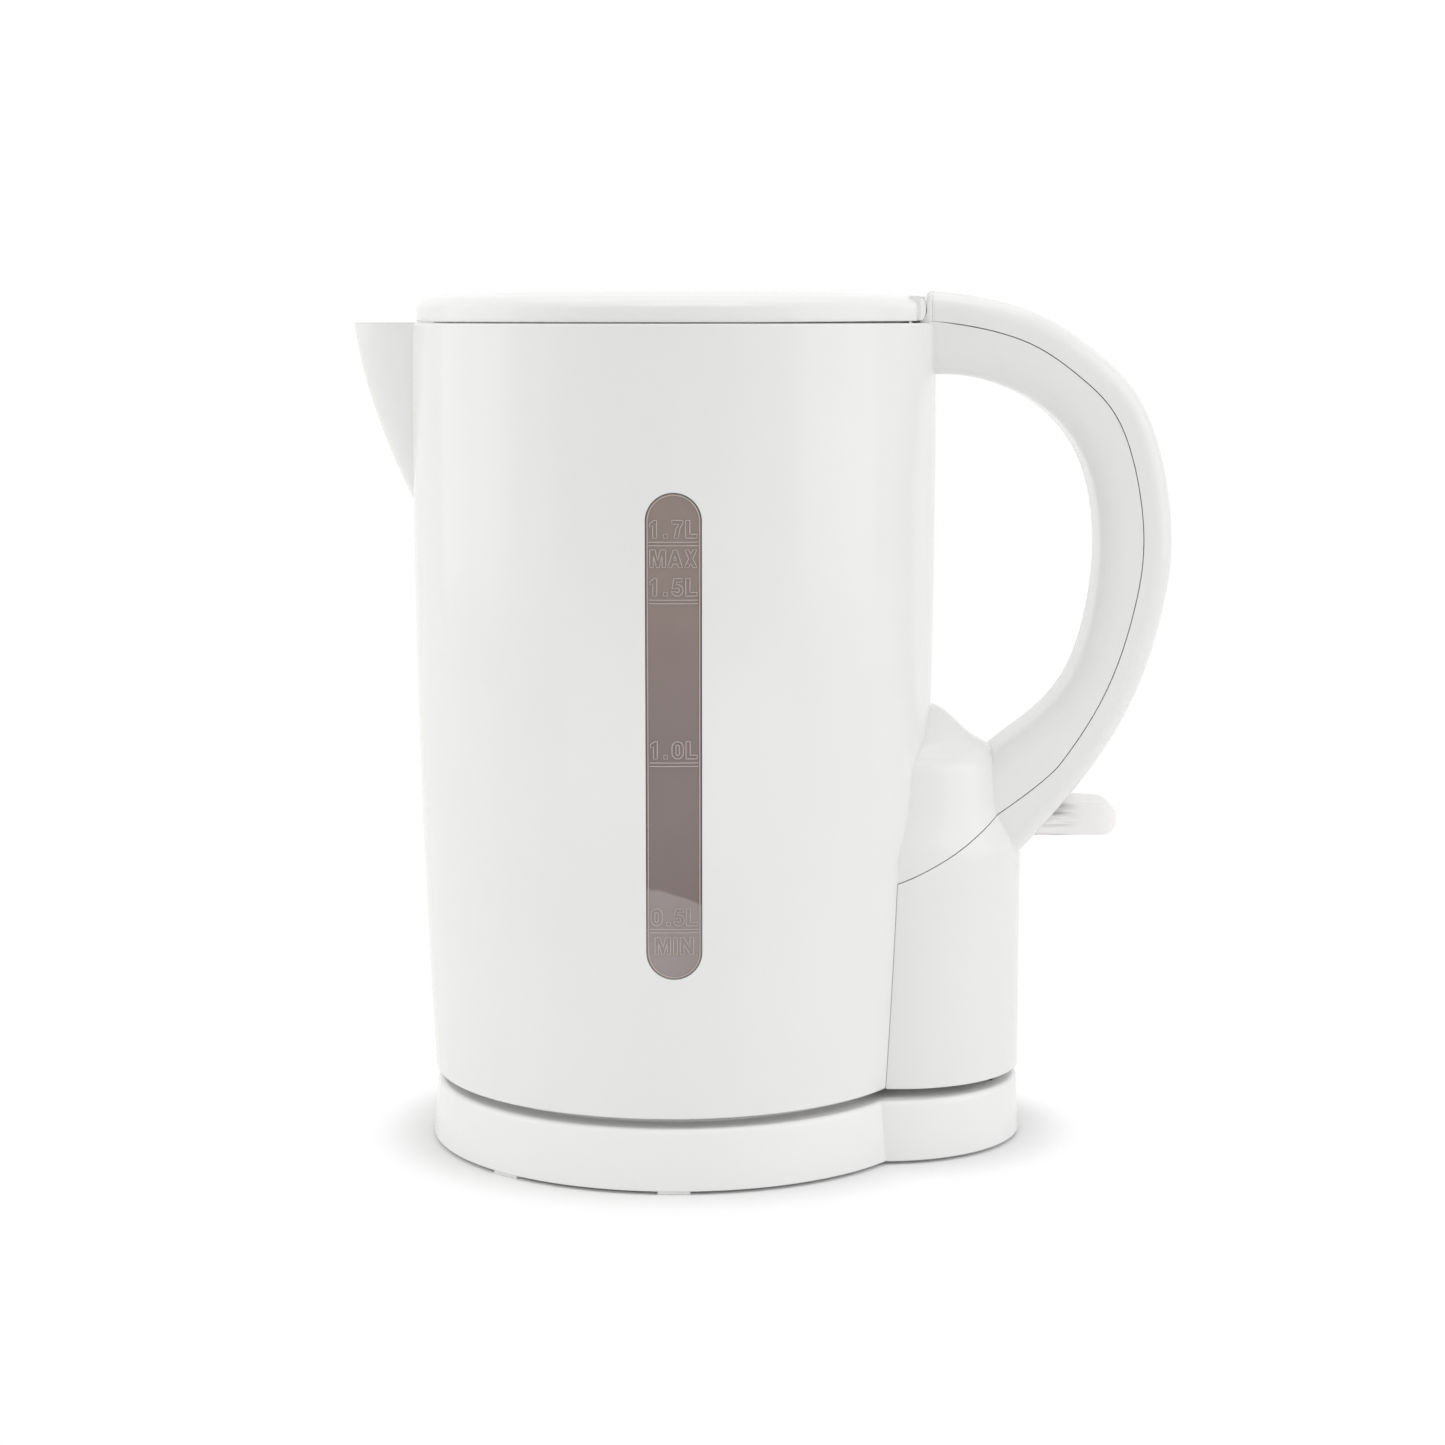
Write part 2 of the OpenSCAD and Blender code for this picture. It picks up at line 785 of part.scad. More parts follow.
module socket_housing() {
    pocket_l = blade_l + 2 * blade_slot;
    pocket_w = blade_t + 2 * (clip_t + clip_gap) + screw_clear;
    pocket_h = socket_top_z - socket_bottom_z - socket_floor_t - socket_roof_t;
    hole = 2 * socket_hole_clear;
    color(black) at_base() translate([socket_x, 0, 0]) difference() {
        union() {
            translate([0, 0, socket_bottom_z])
                round_block(socket_l, socket_w, socket_top_z - socket_bottom_z, socket_corner - 0.1);
            translate([0, 0, skin_z - socket_flange_t])
                round_block(
                    socket_l + socket_flange, socket_w + socket_flange, socket_flange_t, socket_corner
                );
        }
        translate([0, 0, socket_bottom_z + socket_floor_t]) {
            for (side = [-1, 1])
                translate([0, side * blade_pitch, 0]) {
                    block(pocket_l, pocket_w, pocket_h);
                    block(blade_l + hole, blade_t + hole, far);
                }
            cylinder(r = earth_r + clip_gap + 2 * clip_t, h = pocket_h);
            cylinder(r = earth_r + socket_hole_clear, h = far);
        }
    }
}

// Each contact is a spring clip that takes a blade between its two leaves
module socket_contacts() {
    color(brass) at_base() translate([socket_x, 0, socket_bottom_z + socket_floor_t])
        for (side = [-1, 1])
            translate([0, side * blade_pitch, 0]) difference() {
                block(blade_l + blade_slot / 2, blade_t + 2 * (clip_t + clip_gap), clip_h);
                translate([0, 0, clip_floor_t])
                    block(blade_l + 2 * blade_slot, blade_t + 2 * clip_gap, clip_h);
            }
}

module socket_earth_contact() {
    color(brass) at_base() translate([socket_x, 0, socket_bottom_z + socket_floor_t]) difference() {
        cylinder(r = earth_r + clip_gap + clip_t, h = clip_h);
        translate([0, 0, clip_floor_t]) cylinder(r = earth_r + clip_gap, h = clip_h);
    }
}

// ---- Rear housing and handle cover ----

pivot_x = belly_r + pivot_back;
lever_bottom = pivot_z - lever_h / 2 + 0.3;

// Slot in the cover for the lever's travel
slot_w = lever_w + slide_fit;
slot_exit_x = pivot_x + 13;
slot_low = lever_bottom - (slot_exit_x - pivot_x) * sin(lever_turn) - slide_fit;
slot_high = lever_bottom + lever_h + 2 * slide_fit;
slot_x = pivot_x + 6;

cover_boss_r = 3.5;
cover_boss_h = 18;
cover_boss_angle = 57;
cover_boss_reach = housing_r - wall - cover_boss_r + 0.4;
cover_boss_place = [housing_x, 0] + cover_boss_reach * [cos(cover_boss_angle), sin(cover_boss_angle)];
cover_screw_r = 1.3;
cover_screw_l = 11;
cover_head_r = 2.5;
cover_head_h = 0.8;
bottom_cover_z = 0.5;

knuckle_r = 3.1;

// Passage of the hinge bracket through the end of the cover's neck
bracket_w = 9;
bracket_t = 2.2;
barrel_r = 2.9;
bracket_z = jug_h + lid_gap;
bracket_l = 20;
bracket_back_x = hinge_x + bracket_l;
passage_w = bracket_w + slide_fit;
nose_w = handle_w - 2 * slide_fit;
nose_x = hinge_x + knuckle_r + lid_gap;
nose_h = lid_h - 2.9;

module handle_cover() {
    color(white) at_kettle() difference() {
        union() {
            intersection() {
                rear_shell();
                cover_side(half_gap);
            }
            for (side = [-1, 1])
                translate([cover_boss_place.x, side * cover_boss_place.y, bottom_cover_z + bottom_cover_t])
                    cylinder(r = cover_boss_r, h = cover_boss_h);
        }
        jug_form(half_gap, -over, jug_h);
        translate([0, 0, jug_h]) cylinder(r = neck_r, h = 2 * lid_h);
        for (side = [-1, 1])
            translate([cover_boss_place.x, side * cover_boss_place.y, bottom_cover_z])
                cylinder(r = cover_screw_r, h = cover_screw_l + over);
        translate([slot_x, -slot_w, slot_low]) cube([lever_l, 2 * slot_w, slot_high - slot_low]);
        translate([hinge_x, -passage_w, bracket_z - 2 * bracket_t])
            cube([bracket_back_x - hinge_x, 2 * passage_w, 3 * bracket_t + slide_fit]);
    }
}

// Plate that closes the housing from below, with a pocket around the socket
pocket_wall = 1.4;
pocket_clear = 1;
control_bottom_z = 13;

module bottom_cover() {
    l = socket_l + 2 * pocket_clear;
    w = socket_w + 2 * pocket_clear;
    pocket_h = control_bottom_z - bottom_cover_z - plate_clear;
    plate_r = housing_r - wall - plate_clear / 2;
    color(white) at_kettle() difference() {
        union() {
            difference() {
                translate([housing_x, 0, bottom_cover_z]) cylinder(r = plate_r, h = bottom_cover_t);
                jug_form(plate_clear, -over, bottom_cover_z + bottom_cover_t + over);
            }
            intersection() {
                translate([socket_x, 0, bottom_cover_z])
                    round_block(l + 2 * pocket_wall, w + 2 * pocket_wall, pocket_h, socket_corner);
                translate([housing_x, 0, bottom_cover_z]) cylinder(r = plate_r, h = pocket_h);
            }
        }
        translate([socket_x, 0, -over]) round_block(l, w, far, socket_corner);
        for (side = [-1, 1])
            translate([cover_boss_place.x, side * cover_boss_place.y, bottom_cover_z - over]) {
                cylinder(r = cover_screw_r + screw_clear, h = bottom_cover_t + 2 * over);
                cylinder(r = cover_head_r + screw_clear, h = over + cover_head_h);
            }
    }
}

module bottom_cover_screws() {
    color(steel) at_kettle()
        for (side = [-1, 1])
            translate([cover_boss_place.x, side * cover_boss_place.y, bottom_cover_z])
                rotate([180, 0, 0]) screw(cover_head_r, cover_head_h, cover_screw_r, cover_screw_l);
}

// ---- Spout filter ----

module filter_ring(r0, r1, half_angle, z0, z1) {
    rotate([0, 0, 180 - half_angle])
        rotate_extrude(angle = 2 * half_angle)
            translate([r0, z0]) square([r1 - r0, z1 - z0]);
}

filter_r = jug_r(filter_top_z - filter_h - ledge_t) - wall - filter_gap;
filter_border = 3;
filter_border_angle = 3;
filter_sheet_t = 0.4;

module filter_frame() {
    z0 = filter_top_z - filter_h + filter_gap;
    z1 = filter_top_z;
    color(white) at_kettle() difference() {
        filter_ring(filter_r - filter_t, filter_r, filter_angle - 0.2, z0, z1);
        filter_ring(
            filter_r - filter_t - over, filter_r + over, filter_angle - filter_border_angle,
            z0 + filter_border, z1 - filter_border
        );
    }
}

module filter_mesh() {
    z0 = filter_top_z - filter_h + filter_gap + filter_border;
    z1 = filter_top_z - filter_border;
    middle = filter_r - filter_t / 2;
    color(steel) at_kettle()
        filter_ring(
            middle - filter_sheet_t / 2, middle + filter_sheet_t / 2,
            filter_angle - filter_border_angle, z0, z1
        );
}

// ---- Heating element ----

gasket_t = 1.5;
gasket_overlap = 2;
flange_t = 1.2;
flange_x = land_in_x - gasket_t;
element_end_x = flange_x - flange_t;
leg_y = 9;
outer_leg_y = 29;
loop_z = water_floor_z + element_lift;
bend_r = (flange_z - loop_z) / 2;
bend_start_x = element_end_x - 5;
bend_end_x = bend_start_x - 2 * bend_r;
loop_l = 80;
front_x = element_end_x - loop_l;
rear_x = element_end_x - outer_leg_y - element_r - 3;
turn_r = (outer_leg_y - leg_y) / 2;

module tube_arc(r, angle) {
    rotate_extrude(angle = angle) translate([r, 0]) circle(element_r);
}

module element_half() {
    translate([0, leg_y, flange_z]) rod_x(element_r, bend_start_x, element_end_x);
    translate([bend_start_x, leg_y, flange_z - bend_r])
        rotate([90, 0, 0]) rotate([0, 0, 90]) tube_arc(bend_r, 90);
    translate([bend_end_x, leg_y, loop_z + bend_r])
        rotate([90, 0, 0]) rotate([0, 0, -90]) tube_arc(bend_r, 90);
    translate([0, leg_y, loop_z]) rod_x(element_r, front_x, bend_end_x);
    translate([front_x, leg_y + turn_r, loop_z]) rotate([0, 0, 90]) tube_arc(turn_r, 180);
    translate([0, outer_leg_y, loop_z]) rod_x(element_r, front_x, rear_x);
}

module heating_element() {
    color(steel) at_kettle() {
        element_half();
        mirror([0, 1, 0]) element_half();
        translate([rear_x, 0, loop_z]) rotate([0, 0, -90]) tube_arc(outer_leg_y, 180);
    }
}

control_screw_place = 16.5;
control_screw_r = 1.25;

module element_flange() {
    color(steel) at_kettle() difference() {
        translate([0, 0, flange_z]) rod_x(flange_r, element_end_x, flange_x);
        control_screw_holes(control_screw_r, element_end_x, flange_x);
    }
}

module element_gasket() {
    color(silicone) at_kettle() difference() {
        translate([0, 0, flange_z]) rod_x(flange_r, flange_x, land_in_x);
        translate([0, 0, flange_z]) rod_x(port_r - gasket_overlap, flange_x - over, land_in_x + over);
        control_screw_holes(control_screw_r + screw_clear, flange_x, land_in_x);
    }
}

terminal_r = 1.2;
terminal_end_x = land_out_x + 4;

module element_terminals() {
    color(steel) at_kettle()
        for (side = [-1, 1])
            translate([0, side * leg_y, flange_z]) rod_x(terminal_r, flange_x, terminal_end_x);
}

// ---- Control ----

control_l = 13.5;
control_w = 23.6;
control_h = 32.5;
control_wall = 1.5;
control_face_x = land_out_x;
control_floor_t = 2;
control_plate_t = 2;
control_plate_r = 19;
control_end_clear = 0.1;
control_head_r = 2.3;
control_head_h = 1.4;

module control_body() {
    color(black) at_kettle() translate([control_face_x, 0, control_bottom_z]) difference() {
        union() {
            translate([0, -control_w / 2, 0]) cube([control_l, control_w, control_h]);
            translate([0, 0, flange_z - control_bottom_z]) rod_x(control_plate_r, 0, control_plate_t);
        }
        translate([control_plate_t, -control_w / 2 + control_wall, control_floor_t])
            cube([control_l, control_w - 2 * control_wall, control_h - control_floor_t - control_wall]);
        for (side = [-1, 1]) {
            translate([0, side * leg_y, flange_z - control_bottom_z])
                rod_x(terminal_r + control_end_clear, -over, control_plate_t + over);
            translate([socket_x - control_face_x, side * blade_pitch, -over])
                block(blade_l + 2 * pin_fit, blade_t + 2 * pin_fit, control_floor_t + 2 * over);
        }
        translate([socket_x - control_face_x, 0, -over])
            cylinder(r = earth_r + pin_fit, h = control_floor_t + 2 * over);
        translate([rod_x_place - control_face_x, 0, control_h - 2 * control_wall])
            cylinder(r = trip_rod_r + pin_fit, h = 3 * control_wall);
        translate([-control_face_x, 0, -control_bottom_z])
            control_screw_holes(control_screw_r, control_face_x, control_face_x + control_plate_t);
    }
}

// Screws from the control's back plate through the rear wall into the flange
module control_screws() {
    head_x = control_face_x + control_plate_t + control_head_h;
    color(steel) at_kettle() translate([head_x, 0, flange_z])
        for (a = [90, 210, 330])
            rotate([a, 0, 0]) translate([0, control_screw_place, 0])
                rotate([0, 90, 0])
                    screw(control_head_r, control_head_h, control_screw_r, head_x - element_end_x);
}

disc_r = 5;
disc_t = 0.6;
disc_z = 7;

// Two snap discs that cut the power when the element boils dry
module dry_boil_discs() {
    color(copper) at_kettle()
        for (z = [-disc_z, disc_z])
            translate([0, 0, flange_z + z]) rod_x(disc_r, flange_x, flange_x + disc_t);
}

bimetal_l = 4.5;
bimetal_w = 7;
bimetal_t = 0.5;
bimetal_y = -11;
bimetal_border = 1;

// Bimetal blade in the steam's path on top of the control, cut out in the middle
module steam_bimetal() {
    x = control_face_x + control_plate_t + control_end_clear;
    color(copper) at_kettle() translate([x, bimetal_y, control_bottom_z + control_h]) difference() {
        cube([bimetal_l, bimetal_w, bimetal_t]);
        translate([bimetal_border, bimetal_border, -over])
            cube([bimetal_l - 2 * bimetal_border, bimetal_w - 2 * bimetal_border, 2 * over + bimetal_t]);
    }
}

spring_y = 5;
spring_w = 3;
spring_t = 0.4;
spring_h = 16;
spring_l = 9;
contact_r = 1.4;
contact_t = 1;

// Leaf springs with their silver contact points, one on each side
module control_contacts() {
    x = control_face_x + control_plate_t;
    z = control_bottom_z + control_floor_t;
    color(brass) at_kettle()
        for (side = [-1, 1])
            translate([x, side * spring_y, z]) {
                translate([0, -spring_w / 2, 0]) cube([spring_t, spring_w, spring_h]);
                translate([0, -spring_w / 2, spring_h - spring_t]) cube([spring_l, spring_w, spring_t]);
                translate([spring_l - contact_r, 0, spring_h]) cylinder(r = contact_r, h = contact_t);
            }
}

// ---- Connector under the kettle ----

connector_end_z = socket_bottom_z - jug_bottom_z + socket_floor_t + 3;
connector_top_z = control_bottom_z + 5;

module connector_blades() {
    color(brass) at_kettle()
        for (side = [-1, 1])
            translate([socket_x, side * blade_pitch, connector_end_z])
                block(blade_l, blade_t, connector_top_z - connector_end_z);
}

module connector_earth_pin() {
    color(brass) at_kettle() translate([socket_x, 0, connector_end_z])
        cylinder(r = earth_r, h = connector_top_z - connector_end_z);
}

// ---- Switch ----

pin_r = 1.5;
cheek_in = lever_w + 0.9;
cheek_t = 2;
cheek_l = 7;
cheek_out = cheek_in + cheek_t;
bracket_base_t = 2;
bracket_base_l = 6;
bracket_base_z = control_bottom_z + control_h;

module switch_bracket() {
    color(black) at_kettle() difference() {
        union() {
            translate([pivot_x - cheek_l / 2 - 1.5, -cheek_out, bracket_base_z])
                cube([bracket_base_l, 2 * cheek_out, bracket_base_t]);
            for (side = [-1, 1])
                translate([pivot_x, side * (cheek_in + cheek_t / 2), 0]) {
                    translate([0, 0, bracket_base_z]) block(cheek_l, cheek_t, pivot_z - bracket_base_z);
                    translate([0, 0, pivot_z]) rod_y(cheek_l / 2, -cheek_t / 2, cheek_t / 2);
                }
        }
        translate([pivot_x, 0, pivot_z]) rod_y(pin_r, -cheek_out - over, cheek_out + over);
    }
}

module switch_pivot_pin() {
    color(steel) at_kettle() translate([pivot_x, 0, pivot_z]) rod_y(pin_r, -cheek_out, cheek_out);
}

rod_x_place = pivot_x - 6.5;
trip_rod_r = 1.4;
trip_rod_depth = 10;
trip_head_r = 2.4;
trip_head_t = 1.6;
fork_gap = 0.8;
fork_t = 1.6;
fork_y = 2.6;
fork_z = pivot_z + 1;

// The rod hangs by its head in the lever's fork and reaches down into the control
module trip_rod() {
    foot_z = bracket_base_z - trip_rod_depth;
    head_z = fork_z + fork_gap;
    color(white) at_kettle() translate([rod_x_place, 0, 0]) {
        translate([0, 0, foot_z]) cylinder(r = trip_rod_r, h = head_z - foot_z + trip_head_t / 2);
        translate([0, 0, head_z]) cylinder(r = trip_head_r, h = trip_head_t);
    }
}

lever_reach = pivot_x + lever_l;
lever_tip_r = 4;
lever_hub_r = 3.6;
lever_root_x = pivot_x + 3;
lever_corner_r = 5;

// Side outline of the lever behind its pivot, made smaller by d
module lever_side(d) {
    tip = [lever_reach - lever_tip_r, lever_bottom + lever_tip_r];
    rotate([90, 0, 0])
        linear_extrude(2 * (lever_w - d), center = true) {
            polygon([
                [lever_root_x + d, lever_bottom + d],
                [tip.x, lever_bottom + d],
                [tip.x, tip.y + lever_tip_r - d],
                [lever_root_x + d, lever_bottom + lever_h - d]
            ]);
            translate(tip) circle(lever_tip_r - d);
        }
}

// Plan outline of the lever with its rounded end, made smaller by d
module lever_plan(d) {
    half = lever_w - lever_corner_r;
    end = lever_reach - lever_corner_r;
    translate([0, 0, pivot_z - far / 2])
        linear_extrude(far) {
            translate([0, -lever_w + d]) square([end, 2 * (lever_w - d)]);
            translate([end, -half]) square([lever_corner_r - d, 2 * half]);
            for (side = [-1, 1])
                translate([end, side * half]) circle(lever_corner_r - d);
        }
}

module lever_form(d) {
    intersection() {
        lever_side(d);
        lever_plan(d);
    }
}

module switch_lever() {
    color(frosted) at_kettle() difference() {
        union() {
            difference() {
                lever_form(0);
                lever_form(lever_wall);
                translate([lever_root_x - over, -lever_w + lever_wall, lever_bottom + lever_wall])
                    cube([lever_wall + 2 * over, 2 * (lever_w - lever_wall), lever_h - 2 * lever_wall]);
            }
            translate([pivot_x, 0, pivot_z]) {
                rod_y(lever_hub_r, -lever_w, lever_w);
                rod_y(lever_hub_r - 1, -cheek_in + half_gap, cheek_in - half_gap);
            }
            for (side = [-1, 1])
                translate([rod_x_place - fork_t / 2, side * fork_y - fork_t / 2, fork_z - fork_t])
                    cube([pivot_x - rod_x_place, fork_t, fork_t]);
        }
        translate([pivot_x, 0, pivot_z]) rod_y(pin_r + pin_fit, -cheek_in, cheek_in);
    }
}

lamp_r = 2.2;
lamp_x = pivot_x + 10;
lamp_l = 12;
lamp_lead_r = 0.3;
lamp_lead_l = 5.5;

module neon_lamp() {
    color([0.9, 0.55, 0.4, 0.8]) at_kettle() translate([lamp_x, 0, lever_bottom + lever_wall + lamp_r]) {
        rod_x(lamp_r, 0, lamp_l);
        translate([lamp_l, 0, 0]) sphere(lamp_r);
        for (side = [-1, 1])
            translate([0, side * lamp_r / 2, 0]) rod_x(lamp_lead_r, -lamp_lead_l, lamp_lead_r);
    }
}

// ---- Lid and its hinge ----

hinge_z = jug_h + hinge_h;
knuckle_y = bracket_w + 0.6;
knuckle_l = 5.4;
lid_pin_end = knuckle_y + knuckle_l - 0.8;
// Half width of the lid's rear edge that is rounded about the pin, so that it clears the rim
rear_trim_w = 25;
lid_z = jug_h + lid_gap;
lid_side_h = lid_h - lid_gap - 4.2;
lid_top_z = jug_h + lid_h;

// Half outline of the lid, from its lower edge over its crown to the middle
function lid_outline(d) = [
    [lid_r - d, lid_z - (d > 0 ? over : 0)], [lid_r - d, lid_z + lid_side_h - d * 0.4],
    [lid_r - 1.2 - d * 0.8, lid_top_z - 2.7 - d * 0.7], [lid_r - 2.8 - d * 0.5, lid_top_z - 1.8 - d * 0.9],
    [lid_r - 4 - d * 0.3, lid_top_z - 1.6 - d], [lid_r - 8.6, lid_top_z - 0.8 - d],
    [lid_r - 16, lid_top_z - 0.2 - d], [lid_r - 22, lid_top_z - d], [0, lid_top_z - d]
];

module lid_cover() {
    color(white) at_kettle() difference() {
        union() {
            difference() {
                rotate_extrude() polygon(concat([[0, lid_z]], lid_outline(0)));
                rotate_extrude() polygon(concat([[0, lid_z - over]], lid_outline(lid_wall)));
                difference() {
                    translate([hinge_x, -rear_trim_w, lid_z - over])
                        cube([2 * knuckle_r, 2 * rear_trim_w, lid_h + over]);
                    translate([hinge_x, 0, hinge_z]) rod_y(knuckle_r, -rear_trim_w, rear_trim_w);
                }
            }
            for (side = [-1, 1])
                translate([hinge_x, side * (knuckle_y + knuckle_l / 2), hinge_z])
                    rod_y(knuckle_r, -knuckle_l / 2, knuckle_l / 2);
        }
        translate([hinge_x - knuckle_r - slide_fit, -passage_w, lid_z - over])
            cube([4 * knuckle_r, 2 * passage_w, 2 * lid_h]);
        translate([hinge_x, 0, hinge_z])
            rod_y(hinge_pin_r, -lid_pin_end, lid_pin_end);
    }
}

liner_r = rim_r - wall - liner_gap;
liner_wall = 1.6;
liner_post_r = 3;
liner_post_place = 40;
liner_step_w = bracket_w + knuckle_l + 2;
// The liner's wall meets the underside of the lid's crown
liner_top_z = lid_top_z - lid_wall - 1.6;

module lid_liner() {
    z0 = jug_h - liner_depth;
    color(white) at_kettle() difference() {
        union() {
            difference() {
                translate([0, 0, z0]) cylinder(r = liner_r, h = liner_top_z - z0);
                translate([0, 0, z0 + liner_wall]) cylinder(r = liner_r - liner_wall, h = far);
            }
            for (a = [60 : 60 : 300])
                rotate([0, 0, a]) translate([liner_post_place, 0, z0 + liner_wall / 2])
                    cylinder(r = liner_post_r, h = lid_top_z - lid_wall - z0 - liner_wall / 2);
        }
        translate([hinge_x - knuckle_r - over, -liner_step_w, jug_h - 2 * slide_fit])
            cube([4 * knuckle_r, 2 * liner_step_w, 2 * lid_h]);
    }
}

module lid_hinge_pin() {
    color(steel) at_kettle() translate([hinge_x, 0, hinge_z])
        rod_y(hinge_pin_r, -lid_pin_end, lid_pin_end);
}

module hinge_bracket() {
    color(white) at_kettle() difference() {
        union() {
            translate([hinge_x, 0, hinge_z]) rod_y(barrel_r, -bracket_w, bracket_w);
            translate([hinge_x, -bracket_w, bracket_z])
                cube([bracket_back_x - hinge_x, 2 * bracket_w, bracket_t]);
            intersection() {
                translate([nose_x, -nose_w, bracket_z]) cube([2 * knuckle_r, 2 * nose_w, nose_h]);
                cylinder(r = neck_r - half_gap, h = lid_top_z);
            }
        }
        translate([hinge_x, 0, hinge_z]) rod_y(hinge_pin_r + pin_fit, -bracket_w - over, bracket_w + over);
        for (side = [-1, 1])
            translate([hinge_screw_x, side * hinge_screw_y, bracket_z - over])
                cylinder(r = hinge_screw_r + screw_clear, h = bracket_t + 2 * over);
    }
}

module hinge_screws() {
    color(steel) at_kettle()
        for (side = [-1, 1])
            translate([hinge_screw_x, side * hinge_screw_y, bracket_z + bracket_t + hinge_head_h])
                screw(hinge_head_r, hinge_head_h, hinge_screw_r, hinge_screw_l);
}

base_shell();
base_bottom_plate();
base_feet();
base_screws();
cord_gland();
cord_clamp();
cord_clamp_screws();
socket_housing();
socket_contacts();
socket_earth_contact();
jug_body();
level_window();
window_gasket();
handle_cover();
bottom_cover();
bottom_cover_screws();
filter_frame();
filter_mesh();
heating_element();
element_flange();
element_terminals();
element_gasket();
control_body();
control_screws();
dry_boil_discs();
steam_bimetal();
control_contacts();
connector_blades();
connector_earth_pin();
switch_bracket();
switch_pivot_pin();
hinge_bracket();
hinge_screws();
trip_rod();
switch_lever();
neon_lamp();
lid_cover();
lid_liner();
lid_hinge_pin();
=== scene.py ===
import math

import bmesh
import bpy
import numpy as np
from mathutils import Matrix, Vector
from mathutils.bvhtree import BVHTree
from mathutils.interpolate import poly_3d_calc


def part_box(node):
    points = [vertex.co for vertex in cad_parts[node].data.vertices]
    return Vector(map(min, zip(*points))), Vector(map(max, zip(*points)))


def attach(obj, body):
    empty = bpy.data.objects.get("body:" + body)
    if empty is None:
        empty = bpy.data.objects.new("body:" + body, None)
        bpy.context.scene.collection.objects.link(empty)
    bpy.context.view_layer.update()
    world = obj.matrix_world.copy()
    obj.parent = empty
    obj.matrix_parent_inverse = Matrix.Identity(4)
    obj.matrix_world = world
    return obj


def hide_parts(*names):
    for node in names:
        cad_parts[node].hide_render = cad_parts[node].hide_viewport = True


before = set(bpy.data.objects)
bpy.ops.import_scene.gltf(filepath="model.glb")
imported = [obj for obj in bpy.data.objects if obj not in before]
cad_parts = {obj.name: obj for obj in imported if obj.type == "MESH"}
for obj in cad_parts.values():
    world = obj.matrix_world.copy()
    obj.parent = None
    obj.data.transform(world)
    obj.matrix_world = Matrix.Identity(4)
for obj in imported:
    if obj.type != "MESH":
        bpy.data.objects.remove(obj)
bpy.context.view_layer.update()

# ---- Sizes in millimetres ----

# x counts from the jug's axis towards the handle. Heights count from the jug's lower edge, and those
# of the base from the table.
MM = 0.001
jug_low, jug_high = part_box("jug_body")

BELLY_R = jug_high.y / MM
BELLY_Z = 156.5
SIDE_CURVE_R = 2970
JUG_H = 193
WALL = 2.4
FLOOR_Z = 3
FLOOR_T = 2.5
SPOUT_L = 14.8
SPOUT_HALF_W = 10
SPOUT_H = 48
HANDLE_L = 60.1
HANDLE_HALF_W = 14
HANDLE_OUTER_R = 5
HANDLE_INNER_R = 6
COVER_DEPTH = 7.7
SEAM_HALF = 0.1
HOUSING_R = 33
HOUSING_X = BELLY_R - 9.9
SHOULDER_Z = 58.5
FAIRING_Z = 94.5
FAIRING_R = 28
WINDOW_W = 13.5
WINDOW_Z = 35.3
WINDOW_L = 118
WINDOW_X = 0.7

# Further than any shape reaches, how far a cutter stands out past what it cuts, and how close two
# points may lie before they are joined
FAR = 200
OVER = 1
JOIN_GAP = 0.0003
# Edges sharper than this many degrees stay edges
SHARP_ANGLE = 38
# Steps of a large circle
ROUND = 240

KETTLE_X = jug_low.x / MM + BELLY_R + SPOUT_L
KETTLE_Z = jug_low.z / MM


def jug_r(z):
    return BELLY_R - (z - BELLY_Z) ** 2 / (2 * SIDE_CURVE_R)


FOOT_R = jug_r(0)
RIM_R = jug_r(JUG_H)

# The lid, and the hinge behind it: the pin, the lid's knuckles and ears on it, the bracket between
# the knuckles, and the cheeks that stand on the rim behind the ears. Pairs go from the inner to the
# outer side, to the left and right alike.
LID_GAP = 0.5
LID_H = 8
LID_WALL = 2
LID_TOP = JUG_H + LID_H
LID_LOW = JUG_H + LID_GAP - 0.25
LID_REAR_LOW = LID_LOW + 0.35
LID_R = RIM_R - 1.1
NECK_R = LID_R + 0.8
HINGE_X = LID_R - 5.8
HINGE_Z = JUG_H + 3.4
REAR_WALL_END = HINGE_X + 0.6
REAR_WALL_HALF_W = 25
KNUCKLE = (9.6, 16.2)
KNUCKLE_R = 3.1
EAR = (14.2, 23)
EAR_R = 3.5
EAR_TOP = LID_TOP - 1.3
CHEEK = (14.1, 17.5)
CHEEK_X = HINGE_X + 3.6
CHEEK_TOE_X = (CHEEK_X - 1.7, CHEEK_X + 0.2)
CHEEK_TOE_TOP = HINGE_Z - 1
CHEEK_GAP = 0.15
CHEEK_R = RIM_R - 0.2
BRACKET_HALF_W = 9.4
BRACKET_L = 20
BRACKET_Z = (JUG_H + LID_GAP - 4.4, JUG_H + LID_GAP + 2.6)
HINGE_SCREW_X = HINGE_X + 15
HINGE_SCREW_Y = 5
HINGE_POST_R = 2.4
HINGE_PILOT_R = 1
HINGE_PILOT_L = 8.5

